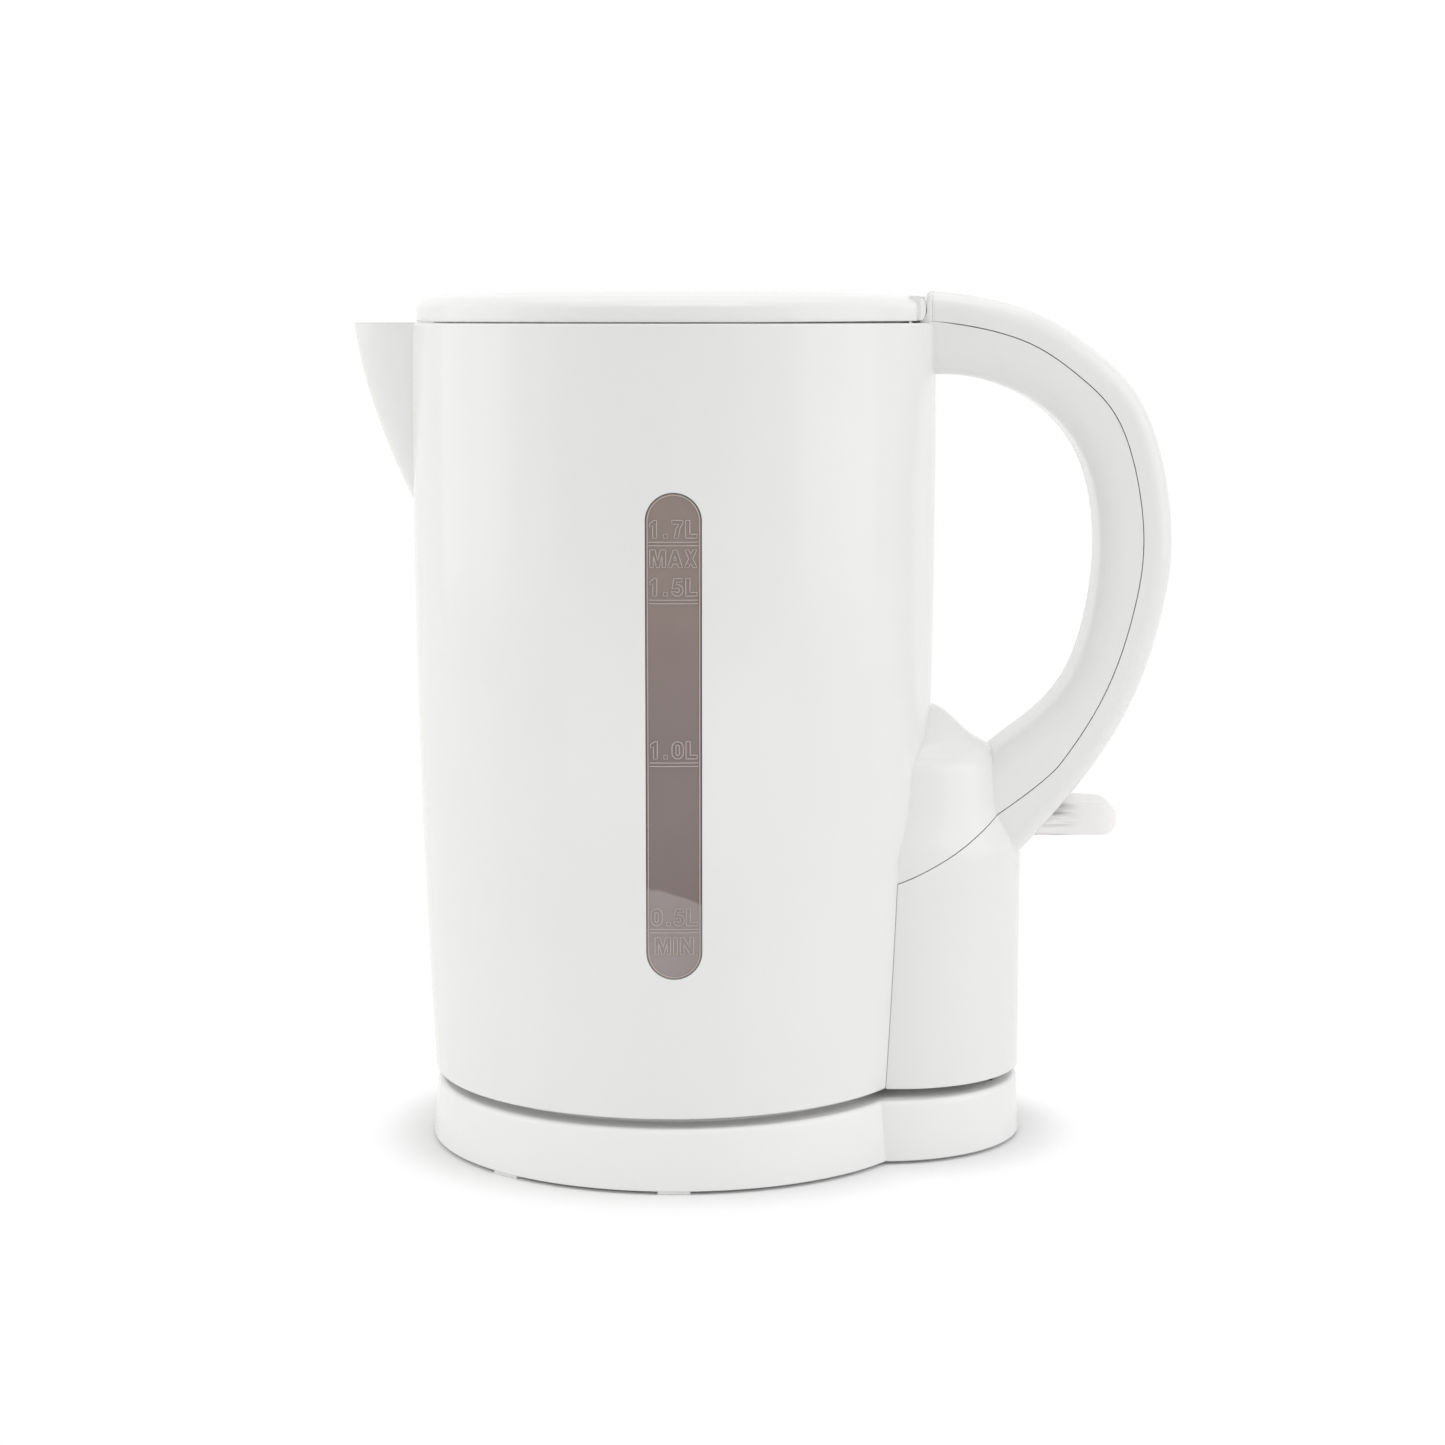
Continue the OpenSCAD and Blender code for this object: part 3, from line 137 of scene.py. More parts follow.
# The switch's lever. It turns down about the pivot by the press angle.
PIVOT_X = BELLY_R + 12.9
PIVOT_Z = 65.8
PRESS_ANGLE = 12
LEVER_L = 35
LEVER_HALF_W = 8.3
LEVER_H = 9.6
LEVER_BOTTOM = PIVOT_Z - LEVER_H / 2 + 0.3
LEVER_WALL = 1.2
LEVER_ROOT = PIVOT_X + 3
LEVER_HUB_R = 3.6
LEVER_BORE_R = 1.55
FORK_X = (PIVOT_X - 7.3, PIVOT_X - 0.8)
FORK_Y = 2.6
FORK_HALF_W = 0.8
FORK_Z = (PIVOT_Z - 0.6, PIVOT_Z + 1)
SLOT_X = PIVOT_X + 6
SLOT_REACH = 13
SLOT_GAP = 0.4

# The base. The sides of its lobe are moved out by LOBE_SPREAD, but for the hollow's, and the lobe's
# end stays where it is.
BASE_H = 16.1
BASE_SKIN = 2.5
BASE_BACK = 1
BASE_R = FOOT_R + 1.8
BASE_DRAFT = 1.3
BASE_WALL = 2.2
BASE_EDGE_R = 1.5
FOOT_H = 0.8
TABLE_R = FOOT_R - WALL - 4.6
TABLE_EDGE_R = 0.8
LOBE_R = HOUSING_R + 0.4
LOBE_SPREAD = 4.2
SOCKET_X = BELLY_R + 7.9
SOCKET_HOLE = (15.4, 28.4)
BASE_SCREW_ANGLES = (46, 140, 220, 314)
BASE_SCREW_REACH = TABLE_R - 5
BASE_BOSS_R = 3.5
BASE_PILOT_R = 1.5
BASE_PILOT_L = 10
CLAMP_X = 8
CLAMP_Y = BASE_R - 16.8
CLAMP_Z = 5.6
CLAMP_POST_R = 3
CLAMP_PILOT_R = 1.1
CORD_HOLE_R = 4.6
CORD_HOLE_L = 16
CORD_Z = 8.8


# ---- Curves ----


def on_circle(cx, cy, r, angle):
    """The point at an angle, in degrees."""
    a = math.radians(angle)
    return (cx + r * math.cos(a), cy + r * math.sin(a))


def arc(cx, cy, r, start, end, steps=6):
    """Points on an arc, in degrees."""
    return [on_circle(cx, cy, r, start + (end - start) * k / steps) for k in range(steps + 1)]


class Curve:
    """A natural cubic spline through points in a plane, one span to each unit of t."""

    def __init__(self, points):
        self.p = np.array(points, float)
        n = len(points)
        rows = np.zeros((n, n))
        right = np.zeros((n, 2))
        rows[0, 0] = rows[-1, -1] = 1
        for i in range(1, n - 1):
            rows[i, i - 1: i + 2] = (1, 4, 1)
            right[i] = 6 * (self.p[i + 1] - 2 * self.p[i] + self.p[i - 1])
        self.m = np.linalg.solve(rows, right)

    def at(self, t):
        i = int(max(0, min(math.floor(t), len(self.p) - 2)))
        u = t - i
        v = 1 - u
        bend = (v ** 3 - v) * self.m[i] + (u ** 3 - u) * self.m[i + 1]
        return v * self.p[i] + u * self.p[i + 1] + bend / 6

    def normal(self, t):
        """Left-hand unit normal."""
        e = 0.005
        d = self.at(t + e) - self.at(t - e)
        return np.array((-d[1], d[0])) / np.hypot(*d)


# ---- Solids ----


def solid(points, faces):
    """An object for the shape, in millimetres, smooth but for its sharp edges."""
    mesh = bpy.data.meshes.new("shape")
    mesh.from_pydata([tuple(map(float, p)) for p in points], [], faces)
    shape = bmesh.new()
    shape.from_mesh(mesh)
    bmesh.ops.remove_doubles(shape, verts=shape.verts, dist=1e-5)
    bmesh.ops.recalc_face_normals(shape, faces=shape.faces)
    shape.to_mesh(mesh)
    shape.free()
    mesh.shade_smooth()
    mesh.set_sharp_from_angle(angle=math.radians(SHARP_ANGLE))
    made = bpy.data.objects.new("shape", mesh)
    bpy.context.scene.collection.objects.link(made)
    return made


def revolve(outline, steps=ROUND, x=0):
    """A closed outline of (radius, height) turned about an upright axis at x."""
    points, faces, rows = [], [], []
    for r, z in outline:
        if r < 1e-6:
            rows.append([len(points)] * steps)
            points.append((x, 0, z))
            continue
        rows.append(list(range(len(points), len(points) + steps)))
        for k in range(steps):
            a = 2 * math.pi * k / steps
            points.append((x + r * math.cos(a), r * math.sin(a), z))
    for i in range(len(rows)):
        a, b = rows[i], rows[(i + 1) % len(rows)]
        for k in range(steps):
            m = (k + 1) % steps
            face = list(dict.fromkeys((a[k], a[m], b[m], b[k])))
            if len(face) > 2:
                faces.append(face)
    return solid(points, faces)


def loft(rings):
    """A closed solid through rings of equally many points."""
    n = len(rings[0])
    points = [p for ring in rings for p in ring]
    faces = [list(range(n)), list(range(len(points) - n, len(points)))]
    for i in range(len(rings) - 1):
        for j in range(n):
            k = (j + 1) % n
            faces.append((i * n + j, i * n + k, (i + 1) * n + k, (i + 1) * n + j))
    return solid(points, faces)


def prism(outline, place, low, high):
    """An outline drawn straight from low to high. place turns (u, v, depth) into a point."""
    return loft([[place(u, v, depth) for u, v in outline] for depth in (low, high)])


def along_y(u, v, depth):
    return (u, depth, v)


def upright(u, v, depth):
    return (u, v, depth)


def along_x(u, v, depth):
    return (depth, u, v)


def rod(r, centre, low, high, place, steps=48):
    outline = [(centre[0] + u, centre[1] + v) for u, v in arc(0, 0, r, 0, 360, steps)[:-1]]
    return prism(outline, place, low, high)


def drum(r, z0, z1):
    """A wide upright rod about the jug's axis."""
    return rod(r, (0, 0), z0, z1, upright, ROUND)


def pilot(r, centre, low, high, place=upright):
    """The hole for a screw."""
    return rod(r, centre, low, high, place, 24)


def block(x0, x1, y0, y1, z0, z1):
    return prism([(x0, y0), (x1, y0), (x1, y1), (x0, y1)], upright, z0, z1)


def turned(shape, angle):
    """The shape turned about the jug's axis, in degrees."""
    shape.data.transform(Matrix.Rotation(math.radians(angle), 4, "Z"))
    return shape


def both_sides(near, far):
    """The spans from near to far on either side of the middle."""
    return (-far, -near), (near, far)


def in_frame(lift):
    """From millimetres about the jug's axis to the part's frame, raised by lift millimetres."""
    return Matrix.Translation((KETTLE_X * MM, 0, lift * MM)) @ Matrix.Scale(MM, 4)


# ---- Joining and cutting, with the normals of the smooth shapes kept ----


class Made:
    """A shape built up by joining and cutting. Each face remembers the smooth shape it came from."""

    def __init__(self, first):
        self.sources = {}
        self.body = self._tag(first)

    def _tag(self, shape):
        """Marks the shape's faces with a material of its own, and keeps a copy for its normals."""
        if shape.data.materials:
            return shape
        mark = bpy.data.materials.new("mark")
        shape.data.materials.append(mark)
        mesh = shape.data
        corners = np.zeros(len(mesh.loops) * 3, np.float32)
        mesh.corner_normals.foreach_get("vector", corners)
        points = [v.co.copy() for v in mesh.vertices]
        polygons = [tuple(p.vertices) for p in mesh.polygons]
        starts = [p.loop_start for p in mesh.polygons]
        tree = BVHTree.FromPolygons(points, polygons)
        self.sources[mark.name] = (tree, polygons, points, starts, corners.reshape(-1, 3))
        return shape

    def _apply(self, others, operation):
        for other in others:
            if isinstance(other, Made):
                self.sources.update(other.sources)
                tool = other.body
            else:
                tool = self._tag(other)
            step = self.body.modifiers.new("step", "BOOLEAN")
            step.object = tool
            step.operation = operation
            step.solver = "MANIFOLD"
            step.material_mode = "TRANSFER"
            graph = bpy.context.evaluated_depsgraph_get()
            made = bpy.data.meshes.new_from_object(self.body.evaluated_get(graph), depsgraph=graph)
            self.body.modifiers.clear()
            if not made.polygons:
                raise RuntimeError("a shape came out empty after " + operation)
            self.body.data = made
            bpy.data.objects.remove(tool)
        return self

    def add(self, *others):
        return self._apply(others, "UNION")

    def cut(self, *others):
        return self._apply(others, "DIFFERENCE")

    def keep(self, *others):
        return self._apply(others, "INTERSECT")

    def _close_slivers(self):
        """Joins points that the cuts left closer than they can be told apart."""
        fine = bmesh.new()
        fine.from_mesh(self.body.data)
        bmesh.ops.remove_doubles(fine, verts=fine.verts, dist=JOIN_GAP)
        bmesh.ops.dissolve_degenerate(fine, edges=fine.edges, dist=JOIN_GAP)
        fine.to_mesh(self.body.data)
        fine.free()

    def _smooth_normals(self):
        """For each corner, the normal at that spot of the smooth shape its face came from."""
        mesh = self.body.data
        names = [m.name for m in mesh.materials]
        normals = np.zeros((len(mesh.loops), 3), np.float32)
        for p in mesh.polygons:
            tree, polygons, points, starts, corners = self.sources[names[p.material_index]]
            index = tree.find_nearest(p.center)[2]
            around = polygons[index]
            outline = [points[v] for v in around]
            start = starts[index]
            for k in range(p.loop_start, p.loop_start + p.loop_total):
                weights = poly_3d_calc(outline, mesh.vertices[mesh.loops[k].vertex_index].co)
                n = np.zeros(3)
                for w, c in zip(weights, range(start, start + len(around))):
                    n += w * corners[c]
                size = np.linalg.norm(n)
                n = n / size if size > 1e-6 else np.array(p.normal)
                normals[k] = n if n @ np.array(p.normal) >= 0 else -n
        return [tuple(map(float, n)) for n in normals]

    def finish(self, name, body, slot, look, lift=KETTLE_Z):
        """Gives the shape its smooth normals, puts it in the part's frame and makes it a piece."""
        self._close_slivers()
        normals = self._smooth_normals()
        piece, mesh = self.body, self.body.data
        mesh.materials.clear()
        mesh.materials.append(look)
        for p in mesh.polygons:
            p.material_index = 0
        mesh.transform(in_frame(lift))
        mesh.shade_smooth()
        mesh.normals_split_custom_set(normals)
        piece.name = name
        mesh.name = name
        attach(piece, body)
        return piece


# ---- Materials ----


class Nodes:
    """The nodes of a material or of the world, with short ways to add and join them."""

    def __init__(self, owner):
        owner.use_nodes = True
        self.tree = owner.node_tree
        self.owner = owner

    def fill(self, node, inputs):
        """Sets each input that is named, or links it where a socket is given."""
        for name, value in inputs.items():
            if isinstance(value, bpy.types.NodeSocket):
                self.tree.links.new(value, node.inputs[name])
            else:
                node.inputs[name].default_value = value
        return node

    def add(self, kind, inputs, **settings):
        node = self.tree.nodes.new(kind)
        for name, value in settings.items():
            setattr(node, name, value)
        return self.fill(node, inputs)

    def maths(self, operation, first, second):
        return self.add("ShaderNodeMath", {0: first, 1: second}, operation=operation).outputs[0]

    def mapped(self, value, start, end, low=0, high=1, curve="LINEAR"):
        """From low at start to high at end."""
        inputs = {"Value": value, "From Min": start, "From Max": end, "To Min": low, "To Max": high}
        return self.add("ShaderNodeMapRange", inputs, interpolation_type=curve).outputs["Result"]

    def mixed_shader(self, factor, first, second, output):
        """Puts a mix of two shaders on the output."""
        inputs = {0: factor, 1: first.outputs[0], 2: second.outputs[0]}
        mix = self.add("ShaderNodeMixShader", inputs)
        self.fill(self.tree.nodes[output], {"Surface": mix.outputs[0]})

    def seen_directly(self):
        """1 for camera, glossy and transmission rays, which see the white background, 0 for the rest."""
        path = self.add("ShaderNodeLightPath", {}).outputs
        either = self.maths("MAXIMUM", path["Is Camera Ray"], path["Is Glossy Ray"])
        return self.maths("MAXIMUM", either, path["Is Transmission Ray"])


class Look(Nodes):
    """A material's nodes, its shader and the coordinates of the piece that wears it."""

    def __init__(self, name):
        super().__init__(bpy.data.materials.new(name))
        self.shader = self.tree.nodes["Principled BSDF"]
        self.place = self.add("ShaderNodeTexCoord", {}).outputs["Object"]

    def noise(self, scale, detail=3, place=None):
        inputs = {"Vector": self.place if place is None else place, "Scale": scale, "Detail": detail}
        return self.add("ShaderNodeTexNoise", inputs).outputs["Fac"]

    def clouds(self, scale, first, second, low=0.35, high=0.65):
        """A colour that drifts between two."""
        ramp = self.add("ShaderNodeValToRGB", {"Fac": self.noise(scale)})
        for stop, position, colour in zip(ramp.color_ramp.elements, (low, high), (first, second)):
            stop.position = position
            stop.color = (*colour, 1)
        return ramp.outputs["Color"]

    def uneven(self, scale, middle, swing):
        """A number that drifts about the middle one."""
        return self.mapped(self.noise(scale), 0.3, 0.7, middle - swing, middle + swing)

    def grain(self, scale, depth, strength, under=None):
        """A normal roughened by fine grain, depth in metres, over another normal if one is given."""
        inputs = {"Strength": strength, "Distance": depth, "Height": self.noise(scale, 2)}
        if under is not None:
            inputs["Normal"] = under
        return self.add("ShaderNodeBump", inputs).outputs["Normal"]

    def along(self, axis, start, end):
        """From 0 at start to 1 at end, in metres along an axis."""
        split = self.add("ShaderNodeSeparateXYZ", {0: self.place})
        return self.mapped(split.outputs[axis], start, end, curve="SMOOTHSTEP")

    def mixed(self, factor, first, second):
        inputs = {"Factor": factor, 6: first, 7: second}
        return self.add("ShaderNodeMix", inputs, data_type="RGBA").outputs[2]


def moulded(name, first, second, rough):
    """Moulded plastic: faint clouds of colour, uneven gloss, fine grain, and rounded edges."""
    look = Look(name)
    rounded = look.add("ShaderNodeBevel", {"Radius": 0.0003}, samples=4)
    look.fill(look.shader, {
        "Base Color": look.clouds(18, first, second),
        "Roughness": look.uneven(60, rough, 0.03),
        "Specular IOR Level": 0.3,
        "Normal": look.grain(900, 0.00002, 0.35, rounded.outputs["Normal"]),
    })
    return look.owner


def clear_plastic(name, colour, rough, transmission):
    """Moulded see-through plastic. colour makes its colour from the look."""
    look = Look(name)
    look.fill(look.shader, {
        "Base Color": colour(look),
        "Roughness": look.uneven(90, rough, 0.04),
        "IOR": 1.5,
        "Specular IOR Level": 0.35,
        "Transmission Weight": transmission,
        "Normal": look.grain(700, 0.00003, 0.3),
    })
    return look.owner


def metal(name, first, second, rough):
    look = Look(name)
    look.fill(look.shader, {
        "Base Color": look.clouds(55, first, second),
        "Roughness": look.uneven(160, rough, 0.06),
        "Metallic": 1,
        "Normal": look.grain(1200, 0.00003, 0.3),
    })
    return look.owner


# How fine the clouds of colour in clear plastic are
CLEAR_CLOUDS = 40


def between(first, second):
    """For clear_plastic: a colour that drifts between two."""
    return lambda look: look.clouds(CLEAR_CLOUDS, first, second)


def smoke(look):
    """Smoked plastic, greyer down the window and paler below the lowest water level."""
    upper = look.clouds(CLEAR_CLOUDS, (0.355, 0.283, 0.250), (0.315, 0.248, 0.220))
    middle = look.clouds(CLEAR_CLOUDS, (0.250, 0.192, 0.188), (0.266, 0.206, 0.202))
    foot = look.clouds(CLEAR_CLOUDS, (0.385, 0.322, 0.320), (0.415, 0.352, 0.348))
    body = look.mixed(look.along("Z", 0.10, 0.165), middle, upper)
    # The level's edge slants and is a little wavy
    slant = look.add("ShaderNodeVectorMath", {0: look.place, 1: (0.3, 0, 1)}, operation="DOT_PRODUCT")
    wave = look.maths("MULTIPLY", look.noise(90, 1), 0.006)
    level = look.maths("ADD", slant.outputs["Value"], wave)
    edge = (KETTLE_Z + WINDOW_Z + 20) * MM
    return look.mixed(look.mapped(level, edge - 0.0035, edge - 0.0028), foot, body)


def frost(look):
    """Milky plastic, clearer where the lever leaves the housing. There, dark streaks of painted shade
    stand for the housing's shaded inside seen through the clearer plastic.
    """
    body = look.clouds(CLEAR_CLOUDS, (0.955, 0.935, 0.920), (0.975, 0.958, 0.945))
    # Painted shade: the dark of the housing's inside, seen through the plastic at the lever's root
    root_shade = look.clouds(CLEAR_CLOUDS, (0.30, 0.29, 0.29), (0.46, 0.44, 0.43))
    drawn = look.add("ShaderNodeMapping", {"Vector": look.place, "Scale": (60, 40, 620)})
    shade_streaks = look.mapped(look.noise(1, 2, drawn.outputs[0]), 0.41, 0.58)
    root = look.along("X", 0.0835, 0.0745)
    return look.mixed(look.maths("MULTIPLY", shade_streaks, root), body, root_shade)


white = moulded("white_gloss", (0.86, 0.86, 0.85), (0.875, 0.875, 0.865), 0.15)
# The base's white is a lighter copy of the jug's white. This is painted light: it stands in for the
# brighter light the base gets from the floor.
base_white_painted_light = moulded("base_gloss", (0.895, 0.895, 0.89), (0.91, 0.91, 0.905), 0.15)
smoked = clear_plastic("window_smoke", smoke, 0.14, 0.15)
# The gauge's raised lines are the window's plastic made lighter: a painted highlight for the light their
# ridges catch
ridge_highlight = clear_plastic("window_ridge", between((0.56, 0.49, 0.46), (0.62, 0.55, 0.52)), 0.3, 0.1)
frosted = clear_plastic("switch_frost", frost, 0.1, 0.02)

# Each slot of the CAD's nodes, and its look
LOOKS = {
    "white_plastic": white,
    "white_inner_plastic": moulded("white_satin", (0.82, 0.82, 0.81), (0.84, 0.84, 0.83), 0.38),
    "window_plastic": smoked,
    "switch_plastic": frosted,
    "lamp_glass": clear_plastic("lamp_glass", between((0.85, 0.55, 0.42), (0.9, 0.62, 0.5)), 0.08, 0.9),
    "foot_rubber": moulded("foot_rubber", (0.82, 0.82, 0.81), (0.86, 0.86, 0.85), 0.6),
    "seal_rubber": moulded("seal_rubber", (0.55, 0.12, 0.08), (0.62, 0.16, 0.11), 0.6),
    "black_plastic": moulded("black_plastic", (0.020, 0.020, 0.021), (0.030, 0.030, 0.032), 0.45),
    "steel": metal("steel", (0.58, 0.58, 0.59), (0.66, 0.66, 0.67), 0.28),
    "element_steel": metal("element_steel", (0.50, 0.48, 0.45), (0.60, 0.59, 0.57), 0.24),
    "brass": metal("brass", (0.66, 0.50, 0.22), (0.74, 0.58, 0.28), 0.26),
}


def dress_frame():
    """Gives each CAD node that stays the look of its slot, which its own material is named after."""
    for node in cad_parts.values():
        for place in node.material_slots:
            place.material = LOOKS[place.material.name.split(".")[0]]


# ---- Jug form ----


def jug_side(d, z0, z1):
    steps = 48
    heights = [z0 + (z1 - z0) * k / steps for k in range(steps + 1)]
    return [(jug_r(z) + d, z) for z in heights]


def jug_form(d, z0, z1):
    return revolve([(0, z0), *jug_side(d, z0, z1), (0, z1)])


def jug_wall():
    """The jug as one closed outline, with its rim, its lower edge and the floor's corner rounded."""
    floor_top = FLOOR_Z + FLOOR_T
    corner = 4
    rim = 0.6
    r_floor = jug_r(floor_top + corner) - WALL
    return revolve([
        (0, FLOOR_Z), (jug_r(FLOOR_Z) - WALL, FLOOR_Z), (FOOT_R - WALL, rim),
        *arc(FOOT_R - WALL + rim, rim, rim, 180, 270),
        *arc(FOOT_R - rim, rim, rim, 270, 360),
        *jug_side(0, 2 * rim, JUG_H - 2 * rim),
        *arc(RIM_R - rim, JUG_H - rim, rim, 0, 90),
        *arc(RIM_R - WALL + rim, JUG_H - rim, rim, 90, 180),
        *jug_side(-WALL, JUG_H - 2 * rim, floor_top + 2 * corner),
        *arc(r_floor - corner, floor_top + corner, corner, 0, -90, 8),
        (0, floor_top),
    ])


# ---- Spout form ----

SPOUT_FOOT_Z = JUG_H - SPOUT_H
SPOUT_FOOT_X = jug_r(SPOUT_FOOT_Z) - WALL / 2
SPOUT_REACH = BELLY_R + SPOUT_L
SPOUT_BULGE = (SPOUT_REACH - WALL - SPOUT_FOOT_X, SPOUT_H * 0.56)


def spout_form(d, lift):
    """Spout with a D-shaped section, made smaller by d on each side. lift raises its top."""
    levels, steps = 48, 40
    root = BELLY_R - 2 * WALL
    depth = SPOUT_REACH - root
    rings = []
    for k in range(levels + 1):
        s = k / levels
        x = (1 - s) ** 2 * SPOUT_FOOT_X + 2 * s * (1 - s) * (SPOUT_FOOT_X + SPOUT_BULGE[0])
        x += s * s * SPOUT_REACH
        z = SPOUT_FOOT_Z + 2 * s * (1 - s) * SPOUT_BULGE[1] + s * s * SPOUT_H
        if k == levels:
            z += lift
        reach = max(x - d - root, 0.3)
        half = max(SPOUT_HALF_W * math.sqrt((x - root) / depth) - d, 0.3)
        angles = [math.pi / 2 - math.pi * j / steps for j in range(steps + 1)]
        rings.append([(-root - reach * math.cos(a), half * math.sin(a), z) for a in angles])
    return loft(rings)


# ---- Handle form ----

# The first number is a part of the handle's reach, and the second a part of the height from the
# fairing's top to the rim, to which the third adds millimetres.
INNER_STATIONS = [
    (-0.118, 1, -13.5), (0.082, 1, -13.1), (0.298, 1, -16.3), (0.498, 0.759, 0),
    (0.641, 0.629, 0), (0.697, 0.447, 0), (0.672, 0.254, 0), (0.581, 0.081, 0),
    (0.424, 0, -3.1), (0.258, 0, -10.9), (0.115, 0, -20.5),
]
OUTER_STATIONS = [
    (-0.118, 1, 8.3), (0.115, 1, 7.1), (0.423, 1, 2.1), (0.681, 0.919, 0),
    (0.892, 0.761, 0), (0.9975, 0.482, 0), (0.963, 0.249, 0), (0.85, 0.032, 0),
    (0.656, 0, -16.7), (0.431, 0, -33), (0.248, 0, -44.5),
]


def handle_curve(stations):
    height = JUG_H - FAIRING_Z
    return Curve([(BELLY_R + a * HANDLE_L, FAIRING_Z + b * height + c) for a, b, c in stations])


handle_inner = handle_curve(INNER_STATIONS)
handle_outer = handle_curve(OUTER_STATIONS)


def round_ring(t, w, inner_r, outer_r):
    """A rectangle from -t to t and -w to w with rounded corners."""
    corners = ((-1, -1, inner_r, 180), (1, -1, outer_r, 270), (1, 1, outer_r, 0), (-1, 1, inner_r, 90))
    ring = []
    for sx, sy, r, start in corners:
        r = max(r, 0.2)
        ring += arc(sx * (t - r), sy * (w - r), r, start, start + 90, 8)
    return ring


def handle_form(d):
    """The handle's grip from inside the jug to inside the fairing, made smaller by d on each side."""
    rings_per_span = 14
    rings = []
    for k in range((len(OUTER_STATIONS) - 1) * rings_per_span + 1):
        t = k / rings_per_span
        a, b = handle_inner.at(t), handle_outer.at(t)
        half = np.hypot(*(b - a)) / 2
        n = (b - a) / (2 * half)
        c = (a + b) / 2
        ring = round_ring(half - d, HANDLE_HALF_W - d, HANDLE_INNER_R - d, HANDLE_OUTER_R - d)
        rings.append([(c[0] + p * n[0], -q, c[1] + p * n[1]) for p, q in ring])
    return loft(rings)


# ---- Rear housing form ----

FAIRING_OUTLINE = [
    (HOUSING_R, SHOULDER_Z - 1), (HOUSING_R - 0.7, SHOULDER_Z + 3), (FAIRING_R + 1.6, SHOULDER_Z + 8.5),
    (FAIRING_R + 0.4, SHOULDER_Z + 15.5), (FAIRING_R - 0.2, FAIRING_Z - 15),
    (FAIRING_R - 2.2, FAIRING_Z - 11.3), (FAIRING_R - 7, FAIRING_Z - 8.5),
    (FAIRING_R - 11.5, FAIRING_Z - 4.7), (FAIRING_R - 15.5, FAIRING_Z - 1.2),
    (FAIRING_R - 19.5, FAIRING_Z - 0.1), (0, FAIRING_Z),
]
fairing = Curve(FAIRING_OUTLINE)


def housing_form(d, z0):
    """The round housing with the fairing on it, made smaller by d on each side."""
    steps = 12
    spots = [k / steps for k in range((len(FAIRING_OUTLINE) - 1) * steps)]
    side = [tuple(fairing.at(t) + d * fairing.normal(t)) for t in spots]
    # Near the axis the line drawn back by d would cross it
    side = [(r, z) for r, z in side if r > 0.5]
    return revolve([(0, z0), (HOUSING_R - d, z0), *side, (0, FAIRING_Z - d)], 192, HOUSING_X)


# ---- Seam between the jug moulding and the cover ----

SEAM_END_T = 8.1
SEAM_FOOT = np.array((HOUSING_X - 0.9, SHOULDER_Z - 5.7))
SEAM_LEAD = 7
SEAM_RISE = np.array((15.1, 5.3))


def bezier(a, b, c, d, s):
    """The curve from a to d that sets out towards b and comes in from c."""
    return (1 - s) ** 3 * a + 3 * s * (1 - s) ** 2 * b + 3 * s * s * (1 - s) * c + s ** 3 * d


def cover_side(gap):
    """Everything on the cover's side of the seam, drawn back from the seam by gap."""
    steps, tail_steps = 120, 40
    curve = []
    for k in range(steps + 1):
        t = SEAM_END_T * k / steps
        curve.append(handle_outer.at(t) - (COVER_DEPTH - gap) * handle_outer.normal(t))
    normal = handle_outer.normal(SEAM_END_T)
    slope = SEAM_RISE / np.hypot(*SEAM_RISE)
    foot = SEAM_FOOT + gap * np.array((slope[1], -slope[0]))
    corner = curve[-1]
    lead = corner + SEAM_LEAD * np.array((normal[1], -normal[0]))
    shares = [k / tail_steps for k in range(1, tail_steps + 1)]
    tail = [bezier(corner, lead, foot + SEAM_RISE, foot, s) for s in shares]
    outline = [curve[0] - np.array((HANDLE_HALF_W, 0)), *curve, *tail, foot - FAIRING_Z * slope,
               (0, -FAR), (FAR, -FAR), (FAR, 2 * FAR), (0, 2 * FAR)]
    return prism(outline, along_y, -FAR, FAR)


def rear_shell():
    """The hollow handle and housing together."""
    hollow = Made(handle_form(WALL)).cut(drum(NECK_R + WALL, -FAR, FAR)).add(housing_form(WALL, -OVER))
    return Made(handle_form(0)).add(housing_form(0, 0)).cut(hollow)


# ---- Window opening ----


def window_outline(d):
    half = WINDOW_W / 2 + d
    low, high = WINDOW_Z + WINDOW_W / 2, WINDOW_Z + WINDOW_L - WINDOW_W / 2
    return arc(WINDOW_X, high, half, 0, 180, 32) + arc(WINDOW_X, low, half, 180, 360, 32)


def window_prism(d):
    """Reaches from in front of the jug to well inside it."""
    return prism(window_outline(d), along_y, -BELLY_R - OVER, -BELLY_R / 2)


# ---- Jug ----

# The flat land for the element's flange, its port, and the holes for the control's screws round it
LAND_R = 19
LAND_IN = FOOT_R - WALL - 3.5
LAND_OUT = FOOT_R + 5
FLANGE_Z = 33
PORT_R = 14.5
CONTROL_SCREW_ANGLES = (90, 210, 330)
CONTROL_SCREW_REACH = 16.5
CONTROL_SCREW_R = 1.25
# The rests under the floor, on which the jug stands on the base's table
REST_ANGLES = (45, 135, 225, 315)
REST_R = 3
REST_REACH = FOOT_R - 17
REST_Z = 1
# The rails behind the spout that hold the filter, this many degrees to either side, and the ledge
# under it
RAIL_ANGLE = 14
FILTER_TOP = JUG_H - 7
FILTER_H = 36
RAIL_T = 1.6
RAIL_DEPTH = 3.1
LEDGE_T = 1.5
# The opening that lets steam into the handle
STEAM_R = 3
STEAM_Z = JUG_H - 9


